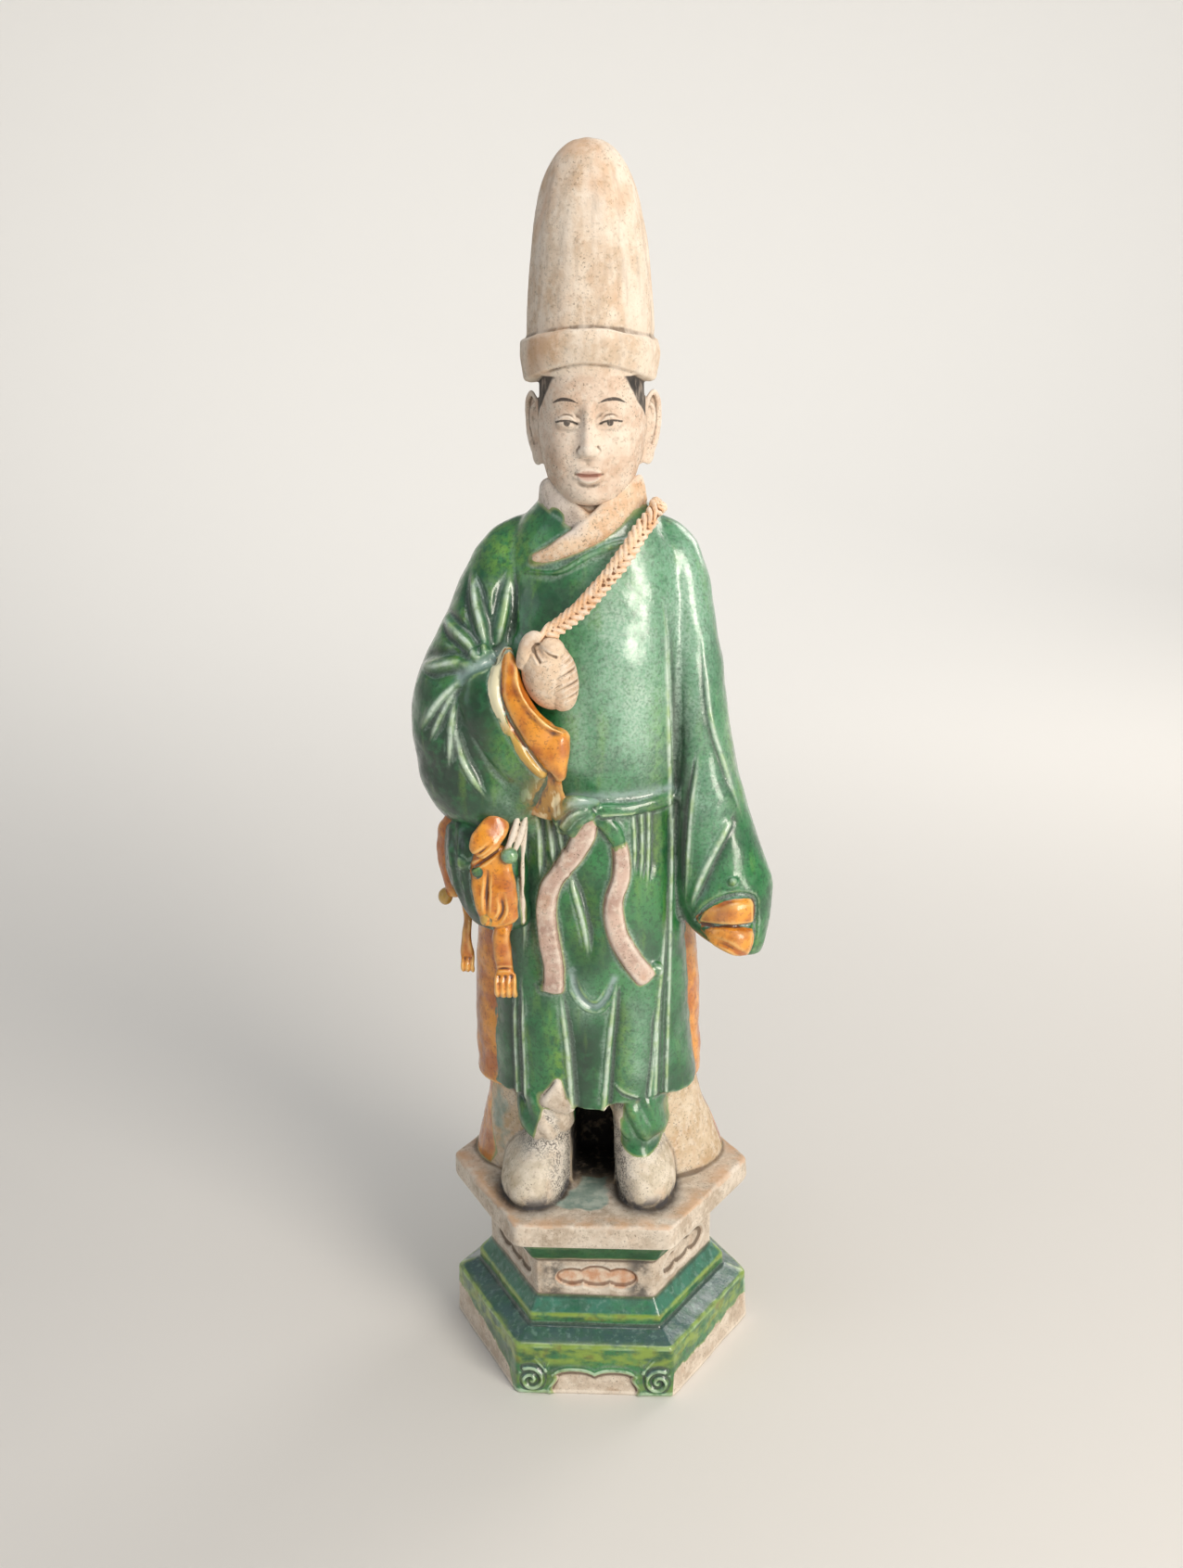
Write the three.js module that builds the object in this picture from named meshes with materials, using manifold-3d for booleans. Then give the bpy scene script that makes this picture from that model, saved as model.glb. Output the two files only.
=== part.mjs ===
// A glazed earthenware tomb attendant in a tall conical hat, on a hexagonal plinth.
// Millimetres, +Z up, the figure faces -Y. The origin is on the ground, under the middle of the whole.
import * as THREE from "three";
import { mergeVertices } from "three/addons/utils/BufferGeometryUtils.js";
import Module from "manifold-3d";

const wasm = await Module();
wasm.setup();

// Driving dimensions: the figure
const figureHeight = 502; // from the slab's top to the crown of the hat
const neckRadius = 15;
const neckDepth = 15; // how far the loose head's neck reaches down into the collar
const neckClearance = 0.7; // between the head and the collar that it sits in
const neckInJaw = 20; // how far the neck runs up inside the jaw

// Driving dimensions: the footing slab and the plinth. Each radius is that of a hexagon's corners.
const footRadius = 80;
const footHeight = 28.3;
const footBatter = 1.4; // how far the foot's wall leans in
const tierRadius = 66.5;
const tierTop = 39.2;
const stepSlope = 4; // the sloped top of each step, up to the hollow under the next one
const stepReach = 2.5; // how far that slope ends short of the wall above it
const stepLip = 1; // the small rise between them
const waistRadius = 59.5;
const waistBottom = 46.6;
const waistHeight = 18.4;
const corniceRadius = 68;
const corniceHeight = 5;
const corniceFlare = 14.7; // from the waist's top up to the cornice
const flareSet = 3.5; // the flare starts steeper: this far out
const flareRise = 3; // over this height
const wallThickness = 9;
const slabThickness = 13;
const slabSetback = 1.7; // the slab's radius is this much under the foot's
const slabBevel = 1.8;
const seatGap = 0.3; // between pieces that rest on each other
const panelDepth = 1.6; // of the cusped panels sunk in the waist and the apron
const scrollRelief = 1.2; // how far the apron's scrolls stand out

// Places that follow from them
const waistTop = waistBottom + waistHeight;
const plinthHeight = waistTop + corniceFlare + corniceHeight;
const slabTop = plinthHeight + seatGap + slabThickness;
const slabRadius = footRadius - slabSetback;
const flatOfHexagon = Math.cos(Math.PI / 6); // from the middle to a side, over the corner radius

// The figure's pose, proportions and carving are in 502nds of its height.
const share = figureHeight / 502;

// Colours as the fired surfaces show them
const greenGlaze = new THREE.MeshStandardMaterial({ color: 0x2f6b45, roughness: 0.25, metalness: 0 });
const bareClay = new THREE.MeshStandardMaterial({ color: 0xd9c4ad, roughness: 0.85, metalness: 0 });
const plinthGlaze = new THREE.MeshStandardMaterial({ color: 0x3f7350, roughness: 0.3, metalness: 0 });

// A closed three.js geometry as a solid that can be joined and cut.
function solid(geometry) {
  const bare = geometry.clone();
  bare.deleteAttribute("normal");
  bare.deleteAttribute("uv");
  const merged = mergeVertices(bare, 1e-4);
  const vertProperties = merged.attributes.position.array;
  const triVerts = new Uint32Array(merged.index.array);
  return new wasm.Manifold(new wasm.Mesh({ numProp: 3, vertProperties, triVerts }));
}

function mesh(made, name, material) {
  const { vertProperties, triVerts } = made.getMesh();
  const shared = new THREE.BufferGeometry();
  shared.setAttribute("position", new THREE.BufferAttribute(vertProperties, 3));
  shared.setIndex(new THREE.BufferAttribute(triVerts, 1));
  const geometry = shared.toNonIndexed();
  geometry.computeVertexNormals();
  const part = new THREE.Mesh(geometry, material);
  part.name = name;
  return part;
}

function join(solids) {
  return solids.reduce((whole, next) => whole.add(next));
}

// A skin over rings of equal count, closed at both ends by a fan about the ring's middle.
function loft(rings) {
  const sides = rings[0].length;
  const points = rings.flat();
  const faces = [];
  for (let k = 0; k + 1 < rings.length; k++)
    for (let i = 0; i < sides; i++) {
      const j = (i + 1) % sides;
      const low = k * sides;
      const high = low + sides;
      faces.push(low + i, low + j, high + j, low + i, high + j, high + i);
    }
  for (const [start, turned] of [[0, true], [(rings.length - 1) * sides, false]]) {
    const sum = points.slice(start, start + sides).reduce((a, b) => a.clone().add(b));
    const middle = points.push(sum.divideScalar(sides)) - 1;
    for (let i = 0; i < sides; i++) {
      const pair = [start + i, start + ((i + 1) % sides)];
      faces.push(middle, ...(turned ? pair.reverse() : pair));
    }
  }
  const geometry = new THREE.BufferGeometry().setFromPoints(points);
  geometry.setIndex(faces);
  return solid(geometry);
}

// A smooth curve through rows of numbers, read where the first column has a value.
function rowAt(rows, value) {
  const above = rows.findIndex((row) => row[0] > value);
  const k = above < 0 ? rows.length - 2 : Math.max(above - 1, 0);
  const [a, b] = [rows[k], rows[k + 1]];
  const before = rows[k - 1] ?? a;
  const after = rows[k + 2] ?? b;
  const span = b[0] - a[0];
  const t = THREE.MathUtils.clamp((value - a[0]) / span, 0, 1);
  return a.map((start, c) => {
    const slopeA = ((b[c] - before[c]) / (b[0] - before[0])) * span;
    const slopeB = ((after[c] - start) / (after[0] - a[0])) * span;
    const rise = (3 - 2 * t) * t * t;
    return start + rise * (b[c] - start) + t * (1 - t) * ((1 - t) * slopeA - t * slopeB);
  });
}

function evenTurns(sides) {
  return Array.from({ length: sides }, (_, i) => (2 * Math.PI * i) / sides);
}

function evenSteps(low, high, steps) {
  return Array.from({ length: steps + 1 }, (_, k) => low + ((high - low) * k) / steps);
}

function sharePoint(x, y, z) {
  return new THREE.Vector3(x, y, z).multiplyScalar(share);
}

// A form given by level sections: rows of height, then its left, right, front and back reach. carve
// gets how far across and along a point lies, from -1 to 1, and its height, and gives a push outward.
function form(rows, { turns = evenTurns(24), square = 2.2, carve = () => 0 }) {
  const power = (value) => Math.sign(value) * Math.abs(value) ** (2 / square);
  return loft(rows.map(([z, left, right, front, back]) => {
    return turns.map((turn) => {
      const [across, along] = [power(Math.cos(turn)), power(Math.sin(turn))];
      const out = carve(across, along, z);
      const x = (left + right) / 2 + ((right - left) / 2) * across + out * Math.cos(turn);
      const y = (front + back) / 2 + ((back - front) / 2) * along + out * Math.sin(turn);
      return sharePoint(x, y, z);
    });
  }));
}

// A band or strand along a curve, as wide as width across the surface that it lies on and as thick
// as thick out of it, with a flat face outward. out gives the surface's direction at a point.
function strand(points, { width, thick, out = () => [0, -1, 0], steps = 8, sides = 4, plait = () => 1 }) {
  const curve = new THREE.CatmullRomCurve3(points.map((p) => new THREE.Vector3(...p)));
  return loft(evenSteps(0, 1, steps).map((t) => {
    const p = curve.getPoint(t);
    const normal = new THREE.Vector3(...out(p.x, p.z)).normalize();
    const across = normal.clone().cross(curve.getTangent(t)).normalize();
    const [w, h] = [width, thick].map((size) => (typeof size === "function" ? size(t) : size) / 2);
    return evenTurns(sides).map((start) => {
      const turn = start + Math.PI / sides;
      const reach = plait(t, turn) / Math.cos(Math.PI / sides);
      const edge = p.clone().addScaledVector(across, w * reach * Math.cos(turn));
      return edge.addScaledVector(normal, h * reach * Math.sin(turn)).multiplyScalar(share);
    });
  }));
}

// A ball stretched to three half sizes.
function lump(x, y, z, [rx, ry, rz], sides = 10) {
  const ball = new THREE.SphereGeometry(1, sides, Math.round(sides * 0.6));
  ball.rotateX(Math.PI / 2).scale(rx, ry, rz).translate(x, y, z);
  return solid(ball.scale(share, share, share));
}

// How near a value is to a middle: 1 there, 0 a few widths off.
function near(value, middle, width) {
  return Math.exp(-(((value - middle) / width) ** 2));
}

// The coat: round shoulders, a sash at the waist, and a pleated skirt cut square at the hem.
const hem = 50;
const waistline = 206;
const coatSquare = 2.4;
const coatRows = [
  [hem, -52, 49, -41, 26],
  [90, -52, 47, -42, 28],
  [150, -49, 44, -41.5, 31],
  [waistline, -48, 42, -38, 33],
  [235, -49, 44, -42, 36],
  [270, -48, 45, -41, 36],
  [300, -46, 45, -36, 34],
  [320, -42, 42, -31, 31],
  [335, -34, 34, -27, 27],
  [350, -22, 23, -21, 21],
];

// Pleats as shares of the coat's half width, from its left edge to its right one.
const pleats = [-0.8, -0.66, -0.3, 0.3, 0.62, 0.8];
const pleatWidth = 0.035;
const pleatRise = 3.4;

// The coat's front surface, where cord, sash and ribbons lie.
function coatFront(x, z) {
  const [, left, right, front, back] = rowAt(coatRows, z);
  const across = Math.min(Math.abs((2 * x - left - right) / (right - left)), 0.98);
  return (front + back) / 2 - ((back - front) / 2) * (1 - across ** coatSquare) ** (1 / coatSquare);
}

function coatOut(x, z) {
  return [(coatFront(x + 1, z) - coatFront(x - 1, z)) / 2, -1, 0];
}

function onCoat(pairs, lift) {
  return pairs.map(([x, z]) => [x, coatFront(x, z) - lift, z]);
}

function coat() {
  const edges = pleats.flatMap((middle) => [middle - pleatWidth, middle, middle + pleatWidth]);
  const shares = [...edges, -0.94, -0.48, -0.1, 0.12, 0.46, 0.94].sort((a, b) => a - b);
  const front = shares.map((s) => -Math.acos(Math.sign(s) * Math.abs(s) ** (coatSquare / 2)));
  const back = evenSteps(0, Math.PI, 7);
  const carve = (across, along, z) => {
    if (along > 0) return 0;
    const skirt = THREE.MathUtils.smoothstep(waistline - z, 4, 60);
    const pleat = Math.max(...pleats.map((middle) => near(across, middle, pleatWidth)));
    const lap = 2.5 * near(across, -0.02, 0.2) * near(z, 112, 24);
    return pleatRise * pleat * skirt + lap - 2 * near(z, waistline, 6);
  };
  return form(coatRows, { turns: [...front, ...back], square: coatSquare, carve });
}

// The robe under the coat, which shows at both sides, and its train, which spreads over the slab.
const robeRows = [
  [-1, -67, 65, -28, 52],
  [16, -63, 60, -29, 49],
  [34, -59, 54, -31, 45],
  [hem, -57, 49, -32, 43],
];
const sideRows = [
  [hem + 2, -64, 53, -31, 44],
  [100, -63, 52, -31, 41],
  [165, -57, 47, -29, 37],
  [212, -49, 40, -24, 33],
];

// The hollow that opens between the boots, under an arch.
const hollowBack = 10;
const hollowRows = [
  [-0.5, -13, 9, -70, hollowBack],
  [36, -13, 9, -70, hollowBack],
  [44, -10, 7, -70, hollowBack],
  [48, -4, 2, -70, hollowBack],
];

function robe() {
  const train = form(robeRows, { turns: evenTurns(20) });
  const hollow = form(hollowRows, { turns: evenTurns(12), square: 6 });
  return form(sideRows, { turns: evenTurns(20) }).add(train).subtract(hollow);
}

// Two raised folds that meet in a sling over the knees, and the crease that hangs from the sash.
function skirtFolds() {
  const sling = onCoat([[-14, 168], [-12, 140], [-7, 112], [2, 101], [12, 106], [17, 125], [17, 145]], 2);
  const crease = onCoat([[-3, 186], [-1, 165], [3, 140]], 1);
  return join([
    strand(sling, { width: 6, thick: 9, out: coatOut, steps: 8 }),
    strand(crease, { width: 3.5, thick: 7, out: coatOut, steps: 2 }),
  ]);
}

// Sleeves: the right arm bends to the chest in a bagging sleeve, the left hangs in a long one.
const bentSleeve = [
  [189, -56, -24, -30, -8],
  [197, -70, -18, -42, 4],
  [210, -79, -15, -49, 10],
  [230, -84.5, -22, -51, 13],
  [250, -85, -33, -51, 14],
  [270, -81, -37, -46, 16],
  [290, -71, -31, -36, 18],
  [310, -62, -26, -25, 19],
  [325, -53.5, -20, -17, 17],
  [334, -45, -18, -9, 10],
  [339, -34, -18, -3, 4],
];
const hangingSleeve = [
  [126, 66, 82, -24, -8],
  [136, 50, 84.5, -30, 0],
  [146, 42, 86.5, -33, 7],
  [160, 38, 87.5, -33, 10],
  [200, 36, 75, -29, 15],
  [256, 33, 64, -24, 19],
  [310, 27, 55, -17, 18],
  [326, 22, 49, -13, 15],
  [335, 19, 40, -8, 9],
  [340, 18, 31, -3, 3],
];

// A point on a sleeve's front, found from its level sections.
function onSleeve(rows, pairs) {
  return pairs.map(([x, z]) => {
    const [, left, right, front, back] = rowAt(rows, z);
    const across = THREE.MathUtils.clamp((2 * x - left - right) / (right - left), -0.97, 0.97);
    return [x, (front + back) / 2 - ((back - front) / 2) * Math.sqrt(1 - across ** 2), z];
  });
}

// Creases that spread from the bend of the right arm, and folds that gather at the left wrist.
const elbowCreases = [
  [[-50, 284], [-52, 298], [-57, 312]],
  [[-45, 286], [-43, 299], [-40, 312]],
  [[-54, 283], [-61, 291], [-68, 299]],
  [[-56, 280], [-66, 281], [-75, 280]],
  [[-60, 275], [-69, 268], [-77, 258]],
  [[-68, 256], [-70, 240], [-69, 222]],
  [[-62, 224], [-58, 215], [-52, 206]],
];
const wristFolds = [
  [[43, 146], [42, 180], [44, 235]],
  [[47, 146], [52, 162], [60, 178]],
  [[62, 176], [61, 225], [55, 285]],
];

function creaseTaper(size) {
  return (t) => 0.4 + size * Math.sin(Math.PI * t);
}

function sleeves() {
  const bent = form(bentSleeve, { turns: evenTurns(18) });
  const hanging = form(hangingSleeve, { turns: evenTurns(16) });
  const creases = elbowCreases.map((pairs) =>
    strand(onSleeve(bentSleeve, pairs), { width: creaseTaper(7), thick: creaseTaper(8), steps: 2 })
  );
  const folds = wristFolds.map((pairs) =>
    strand(onSleeve(hangingSleeve, pairs), { width: creaseTaper(5), thick: creaseTaper(9), steps: 2 })
  );
  return bent.subtract(join(creases)).add(hanging).add(join(folds));
}

// The lining that shows in both sleeves: a cuff round the right wrist and a gathered one at the left.
function cuffs() {
  const edge = [[-38, -45, 282], [-41, -50, 260], [-33, -53, 243], [-19, -53, 226], [-14, -47, 208]];
  const lining = [[-34, -44, 284], [-32, -51, 264], [-25, -55, 251], [-15, -56, 243], [-9, -53, 238]];
  return join([
    strand(edge, { width: 4, thick: 9, steps: 5 }),
    strand(lining, { width: (t) => 7 + 12 * t, thick: 14, steps: 5, sides: 6 }),
    strand([[-12, -52, 244], [-11, -51, 228], [-14, -43, 208]], {
      width: (t) => 20 - 13 * t, thick: 13, steps: 3,
    }),
    strand([[45, -24, 143], [60, -32, 149], [77, -28, 153]], { width: 8, thick: 9, steps: 3 }),
    strand([[46, -23, 140], [62, -32, 139], [80, -26, 140]], {
      width: (t) => 4 + 8 * t, thick: 10, steps: 3,
    }),
    strand([[54, -20, 133], [66, -28, 128], [78, -22, 127]], {
      width: (t) => 5 + 5 * t, thick: 12, steps: 3,
    }),
  ]);
}

// A fist at the chest: its back, the ends of four bent fingers and the thumb along the cord.
function fist() {
  const fingers = evenSteps(280, 266, 3).map((z) =>
    strand([[-13, -58, z - 2], [-7.5, -56.5, z], [-5, -48, z + 2]], {
      width: 3.6, thick: 4.4, steps: 2, out: () => [0.5, -1, 0],
    })
  );
  const thumb = [[-29, -49, 276], [-30, -53, 286], [-26, -54, 293], [-20, -52, 295]];
  return join([
    lump(-18, -49, 274, [12.5, 10.5, 17], 11),
    ...fingers,
    strand(thumb, { width: 7, thick: 7, steps: 3, sides: 5 }),
  ]);
}

// A cord of two strands plaited together, from the left shoulder to the fist.
const plaits = 13;
function braidedCord() {
  const run = onCoat([[31, 344], [23, 337], [7, 316], [-9, 298], [-20, 288]], 1);
  run[3][1] -= 4;
  run[4][1] -= 12;
  const plait = (t, turn) => 1 + 0.22 * Math.cos(2 * Math.PI * plaits * t) * Math.sign(Math.cos(turn));
  return strand(run, { width: 8, thick: 12, out: coatOut, steps: plaits * 2, plait });
}

// The sash, its knot, and the two ribbons that fall from it.
function sash() {
  const belt = onCoat([[-30, 205], [-8, 206], [14, 205], [32, 206], [44, 208]], 0);
  const left = onCoat([[-6, 207], [-2, 194], [-11, 180], [-21, 167], [-22, 148], [-20, 132], [-19, 115]], 3);
  const right = onCoat([[0, 205], [9, 195], [14, 181], [10, 160], [15, 139], [26, 121]], 3);
  return join([
    strand(belt, { width: 8, thick: 9, out: coatOut, steps: 6 }),
    lump(-8, coatFront(-8, waistline) - 2, waistline + 1, [8, 6, 7], 7),
    strand(left, { width: (t) => 8 + 2 * t, thick: 9, out: coatOut, steps: 9, sides: 5 }),
    strand(right, { width: 8, thick: 9, out: coatOut, sides: 5 }),
  ]);
}

// A pouch made of a whole skin, hung at the hip by two straps, with its paws dangling.
function paw(x, y, z, size, toeCount) {
  const toes = Array.from({ length: toeCount }, (_, k) => {
    const toe = x + 4 * size * ((2 * k) / (toeCount - 1) - 1);
    const run = [[toe, y - 2, z + 3], [toe, y - 2, z - 9 * size]];
    return strand(run, { width: 2.2 * size, thick: 7, steps: 1 });
  });
  return join([
    strand([[x + 2, y + 6, z + 32], [x - 1, y + 1, z + 18], [x, y, z]], {
      width: (t) => (7 + 4 * t) * size, thick: 9, steps: 3,
    }),
    ...toes,
  ]);
}

function pouch() {
  const body = [
    [146, -50, -31, -42, -16],
    [150, -59, -28, -47, -8],
    [172, -70, -29, -48, 0],
    [190, -71, -31, -46, 0],
    [201, -67, -32, -41, -4],
    [207, -56, -36, -32, -12],
  ];
  return join([
    form(body, { turns: evenTurns(10), square: 2.5 }),
    strand([[-36, -44, 200], [-47, -47, 196], [-51, -48, 184], [-48, -49, 172]], {
      width: 10, thick: 7, steps: 4,
    }),
    strand([[-56, -43, 196], [-58, -44, 180], [-54, -46, 158]], { width: 4, thick: 6, steps: 3 }),
    strand([[-34, -38, 206], [-37, -44, 190]], { width: 4, thick: 7, steps: 1 }),
    strand([[-40, -38, 206], [-41, -45, 190]], { width: 4, thick: 7, steps: 1 }),
    paw(-42, -45, 124, 1, 4),
    paw(-62, -31, 126, 0.7, 2),
    lump(-38, -47, 187, [4, 4, 4], 7),
    lump(-68, -22, 157, [7, 5, 5], 7),
    lump(-49, -46, 151, [3.5, 4, 5], 7),
  ]);
}

// Boots that turn out at the toes, and the trouser legs gathered over them. Each level has its height,
// half width and how far it stands back from the toe.
const legLevels = [
  [-1, 14.5, 2],
  [7, 15.5, 0],
  [15, 15, 3],
  [24, 13, 11],
  [31, 12, 15],
  [38, 13.5, 13],
  [54, 13, 16],
];

function leg(foot, shank, toe) {
  const top = legLevels[legLevels.length - 1][0];
  const rows = legLevels.map(([z, half, back]) => {
    const x = foot + ((shank - foot) * z) / top;
    return [z, x - half, x + half, toe + back, 0];
  });
  const gather = (across, along, z) => THREE.MathUtils.smoothstep(z, 33, 38) * Math.cos(9 * across);
  return form(rows, { turns: evenTurns(14), carve: gather });
}

// The head: a calm, plain face. Its parts lie at the usual shares of the height from chin to crown.
const chin = 347;
const crown = 419;
const faceMiddle = 1;
const faceFront = -29;
const neckMiddle = -3;
const eyeLine = (chin + crown) / 2;
const browLine = chin + (crown - chin) * 0.61;
const noseBase = chin + (browLine - chin) * 0.5;
const mouthLine = chin + (noseBase - chin) * 0.62;
const eyeWidth = 9.4; // a fifth of the head's width, and the space between the eyes

// The collar: a band standing round the neck, and two lapels that cross at the throat.
function collar() {
  const band = [[23, 338], [24, 354.5], [20, 355.5]].map(([radius, z]) =>
    evenTurns(20).map((turn) => {
      const dip = 13 * Math.max(0, -Math.sin(turn)) ** 2;
      return sharePoint(faceMiddle + radius * Math.cos(turn), neckMiddle + radius * Math.sin(turn), z - dip);
    })
  );
  const over = onCoat([[24, 352], [14, 344], [3, 335], [-12, 327], [-27, 321]], 1.5);
  const under = onCoat([[-20, 354], [-12, 345], [0, 338]], 0.5);
  const edge = onCoat([[32, 330], [18, 325], [0, 318], [-16, 314], [-29, 318]], 0.5);
  return join([
    loft(band),
    strand(over, { width: (t) => 14 - 9 * t, thick: 5, out: coatOut, steps: 5 }),
    strand(under, { width: 10, thick: 5, out: coatOut, steps: 3 }),
    strand(edge, { width: 3, thick: 4, out: coatOut, steps: 4 }),
  ]);
}

// A hexagon with a side to the front, at a height.
function hexagon(radius, z) {
  return evenTurns(6).map((turn) => new THREE.Vector3(radius * Math.cos(turn), radius * Math.sin(turn), z));
}

// The slab that the figure stands on, with a bevelled rim.
function slab() {
  return loft([
    hexagon(slabRadius - slabBevel, -slabThickness),
    hexagon(slabRadius, slabBevel - slabThickness),
    hexagon(slabRadius, -slabBevel),
    hexagon(slabRadius - slabBevel, 0),
  ]);
}

// The head's sections, and the strand and pieces that make its features.
const headRows = [
  [chin, -8, 10, -26, -4],
  [chin + 3, -13.5, 15.5, -30, 7],
  [chin + 11, -19.5, 21.5, -30, 18],
  [chin + 23, -22.5, 24.5, faceFront, 24],
  [eyeLine, -23, 25, -28, 26],
  [crown - 16, -22.5, 24.5, -28, 27],
  [crown - 6, -22, 24, -27, 27],
];

// A strand across the face, level at its middle, that follows the cheeks round.
function acrossFace(x, z, half, { rise = 0, lift = 0, ...sizes }) {
  const points = [-1, -0.5, 0, 0.5, 1].map((side) => {
    const px = x + half * side;
    const round = 7 * (Math.abs(px - faceMiddle) / 20) ** 2.4;
    return [px, faceFront + round - lift, z + rise * (1 - side * side)];
  });
  return strand(points, { steps: 4, ...sizes });
}

function face() {
  const ridge = [
    [faceMiddle, faceFront + 1, browLine - 3],
    [faceMiddle, faceFront - 2, eyeLine - 3],
    [faceMiddle, faceFront - 5.5, noseBase + 3],
  ];
  const eyes = [-1, 1].flatMap((side) => {
    const x = faceMiddle + side * eyeWidth;
    return [
      lump(x, faceFront + 4.4, eyeLine, [eyeWidth * 0.5, 4.6, 2.6], 7),
      acrossFace(x, eyeLine + 1.6, eyeWidth * 0.58, { rise: 1.4, lift: -0.6, width: 1.6, thick: 2.4 }),
    ];
  });
  return join([
    strand(ridge, { width: (t) => 4 + 2.5 * t, thick: 6, steps: 2 }),
    lump(faceMiddle, faceFront - 2.4, noseBase + 1.6, [5, 4.4, 2.6], 8),
    acrossFace(faceMiddle, mouthLine + 1.2, 7, { rise: 1, lift: 0.4, width: 2.4, thick: 3 }),
    acrossFace(faceMiddle, mouthLine - 1.6, 5.4, { rise: -1, lift: 0.5, width: 2.8, thick: 3.4 }),
    ...eyes,
  ]);
}

function ear(x, side) {
  const rim = [
    [x - 2 * side, -4, chin + 14],
    [x + side, -3, chin + 22],
    [x + 4 * side, 1, chin + 34],
    [x + 4.5 * side, 4, chin + 44],
    [x, 3, chin + 50],
  ];
  return join([
    strand(rim, {
      width: (t) => 6 + 6 * Math.sin(Math.PI * t), thick: 4, out: () => [side, -0.7, 0], steps: 4, sides: 5,
    }),
    lump(x + side * 0.2, -3.4, chin + 15, [3, 4, 5], 6),
  ]);
}

// The hat: a tall round-topped cone, and a turned-up band that arches over the brow.
const brim = 399;
const hatRows = [
  [brim + 4, -28, 29, -28, 29],
  [419, -28.4, 29.6, -28, 29],
  [450, -25.7, 27.7, -26, 27],
  [466, -23.5, 25.4, -23.5, 24.5],
  [482, -20, 21.4, -20, 21],
  [492, -16.4, 17.6, -17, 18],
  [498, -12.2, 13.6, -13, 14],
  [502, -5, 6, -5, 6],
];

function hat() {
  const band = [[28, 0], [31.6, 1.5], [31.6, 18.5], [28.5, 20]].map(([radius, rise]) =>
    evenTurns(20).map((turn) => {
      const arch = 9 * Math.max(0, -Math.sin(turn)) ** 2 * (1 - rise / 40);
      return sharePoint(0.3 + radius * Math.cos(turn), radius * Math.sin(turn), brim + rise + arch);
    })
  );
  return loft(band).add(form(hatRows, { turns: evenTurns(20) }));
}

// Skull and neck, or with a clearance the seat in the collar that they fit.
function skull(clearance) {
  const grow = clearance / share;
  const rows = headRows.map(([z, left, right, front, back]) =>
    [z - grow, left - grow, right + grow, front - grow, back + grow]
  );
  const radius = neckRadius + clearance;
  const column = new THREE.CylinderGeometry(radius, radius, neckDepth + neckInJaw + clearance, 16);
  const middle = chin * share + (neckInJaw - neckDepth - clearance) / 2;
  column.rotateX(Math.PI / 2).translate(faceMiddle * share, neckMiddle * share, middle);
  return form(rows, { turns: evenTurns(20) }).add(solid(column));
}

function head() {
  return join([skull(0), face(), ear(24.5, 1), ear(-22.5, -1), hat()]);
}

function figure() {
  const legs = [leg(-29.5, -24.5, -55), leg(23.5, 20.5, -53)];
  const cloth = [coat(), robe(), skirtFolds(), sleeves(), cuffs(), collar(), sash(), pouch()];
  return join([...cloth, ...legs, fist(), braidedCord(), slab()]).subtract(skull(neckClearance));
}

// A plate cut to a shape drawn on the front of a hexagon, from depth inside its side to well outside.
function frontPlate(shape, radius, depth, outside) {
  const options = { depth: depth + outside, bevelEnabled: false, curveSegments: 4 };
  const plate = new THREE.ExtrudeGeometry(shape, options);
  plate.rotateX(Math.PI / 2).translate(0, depth - radius * flatOfHexagon, 0);
  return solid(plate);
}

// The front three sides, which carry the ornament.
function onFrontSides(cutter) {
  return join([-60, 0, 60].map((turn) => cutter.rotate([0, 0, turn])));
}

// A panel of three lobes, sunk in the sides of the waist that face forward.
function waistPanel() {
  const middle = (waistBottom + waistTop) / 2;
  const wide = waistRadius * 0.165;
  const high = waistHeight * 0.3;
  const lobes = [-1, 0, 1].map((place) => {
    const shape = new THREE.Shape();
    const grow = place === 0 ? 1.15 : 0.95;
    shape.absellipse(place * wide * 1.3, middle, wide * grow, high * grow, 0, 2 * Math.PI);
    return frontPlate(shape, waistRadius, panelDepth, panelDepth);
  });
  return join(lobes);
}

// The bare panel under the apron's cusped edge, sunk in the front of the foot.
const apronHalf = footRadius * 0.27;
const apronRise = footHeight * 0.46;
function apronPanel() {
  const shape = new THREE.Shape();
  shape.moveTo(-apronHalf, -1).quadraticCurveTo(-apronHalf, apronRise, -apronHalf * 0.55, apronRise);
  shape.quadraticCurveTo(-apronHalf * 0.15, apronRise * 1.1, 0, apronRise * 0.8);
  shape.quadraticCurveTo(apronHalf * 0.15, apronRise * 1.1, apronHalf * 0.55, apronRise);
  shape.quadraticCurveTo(apronHalf, apronRise, apronHalf, -1).closePath();
  return frontPlate(shape, footRadius, panelDepth, panelDepth);
}

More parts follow.
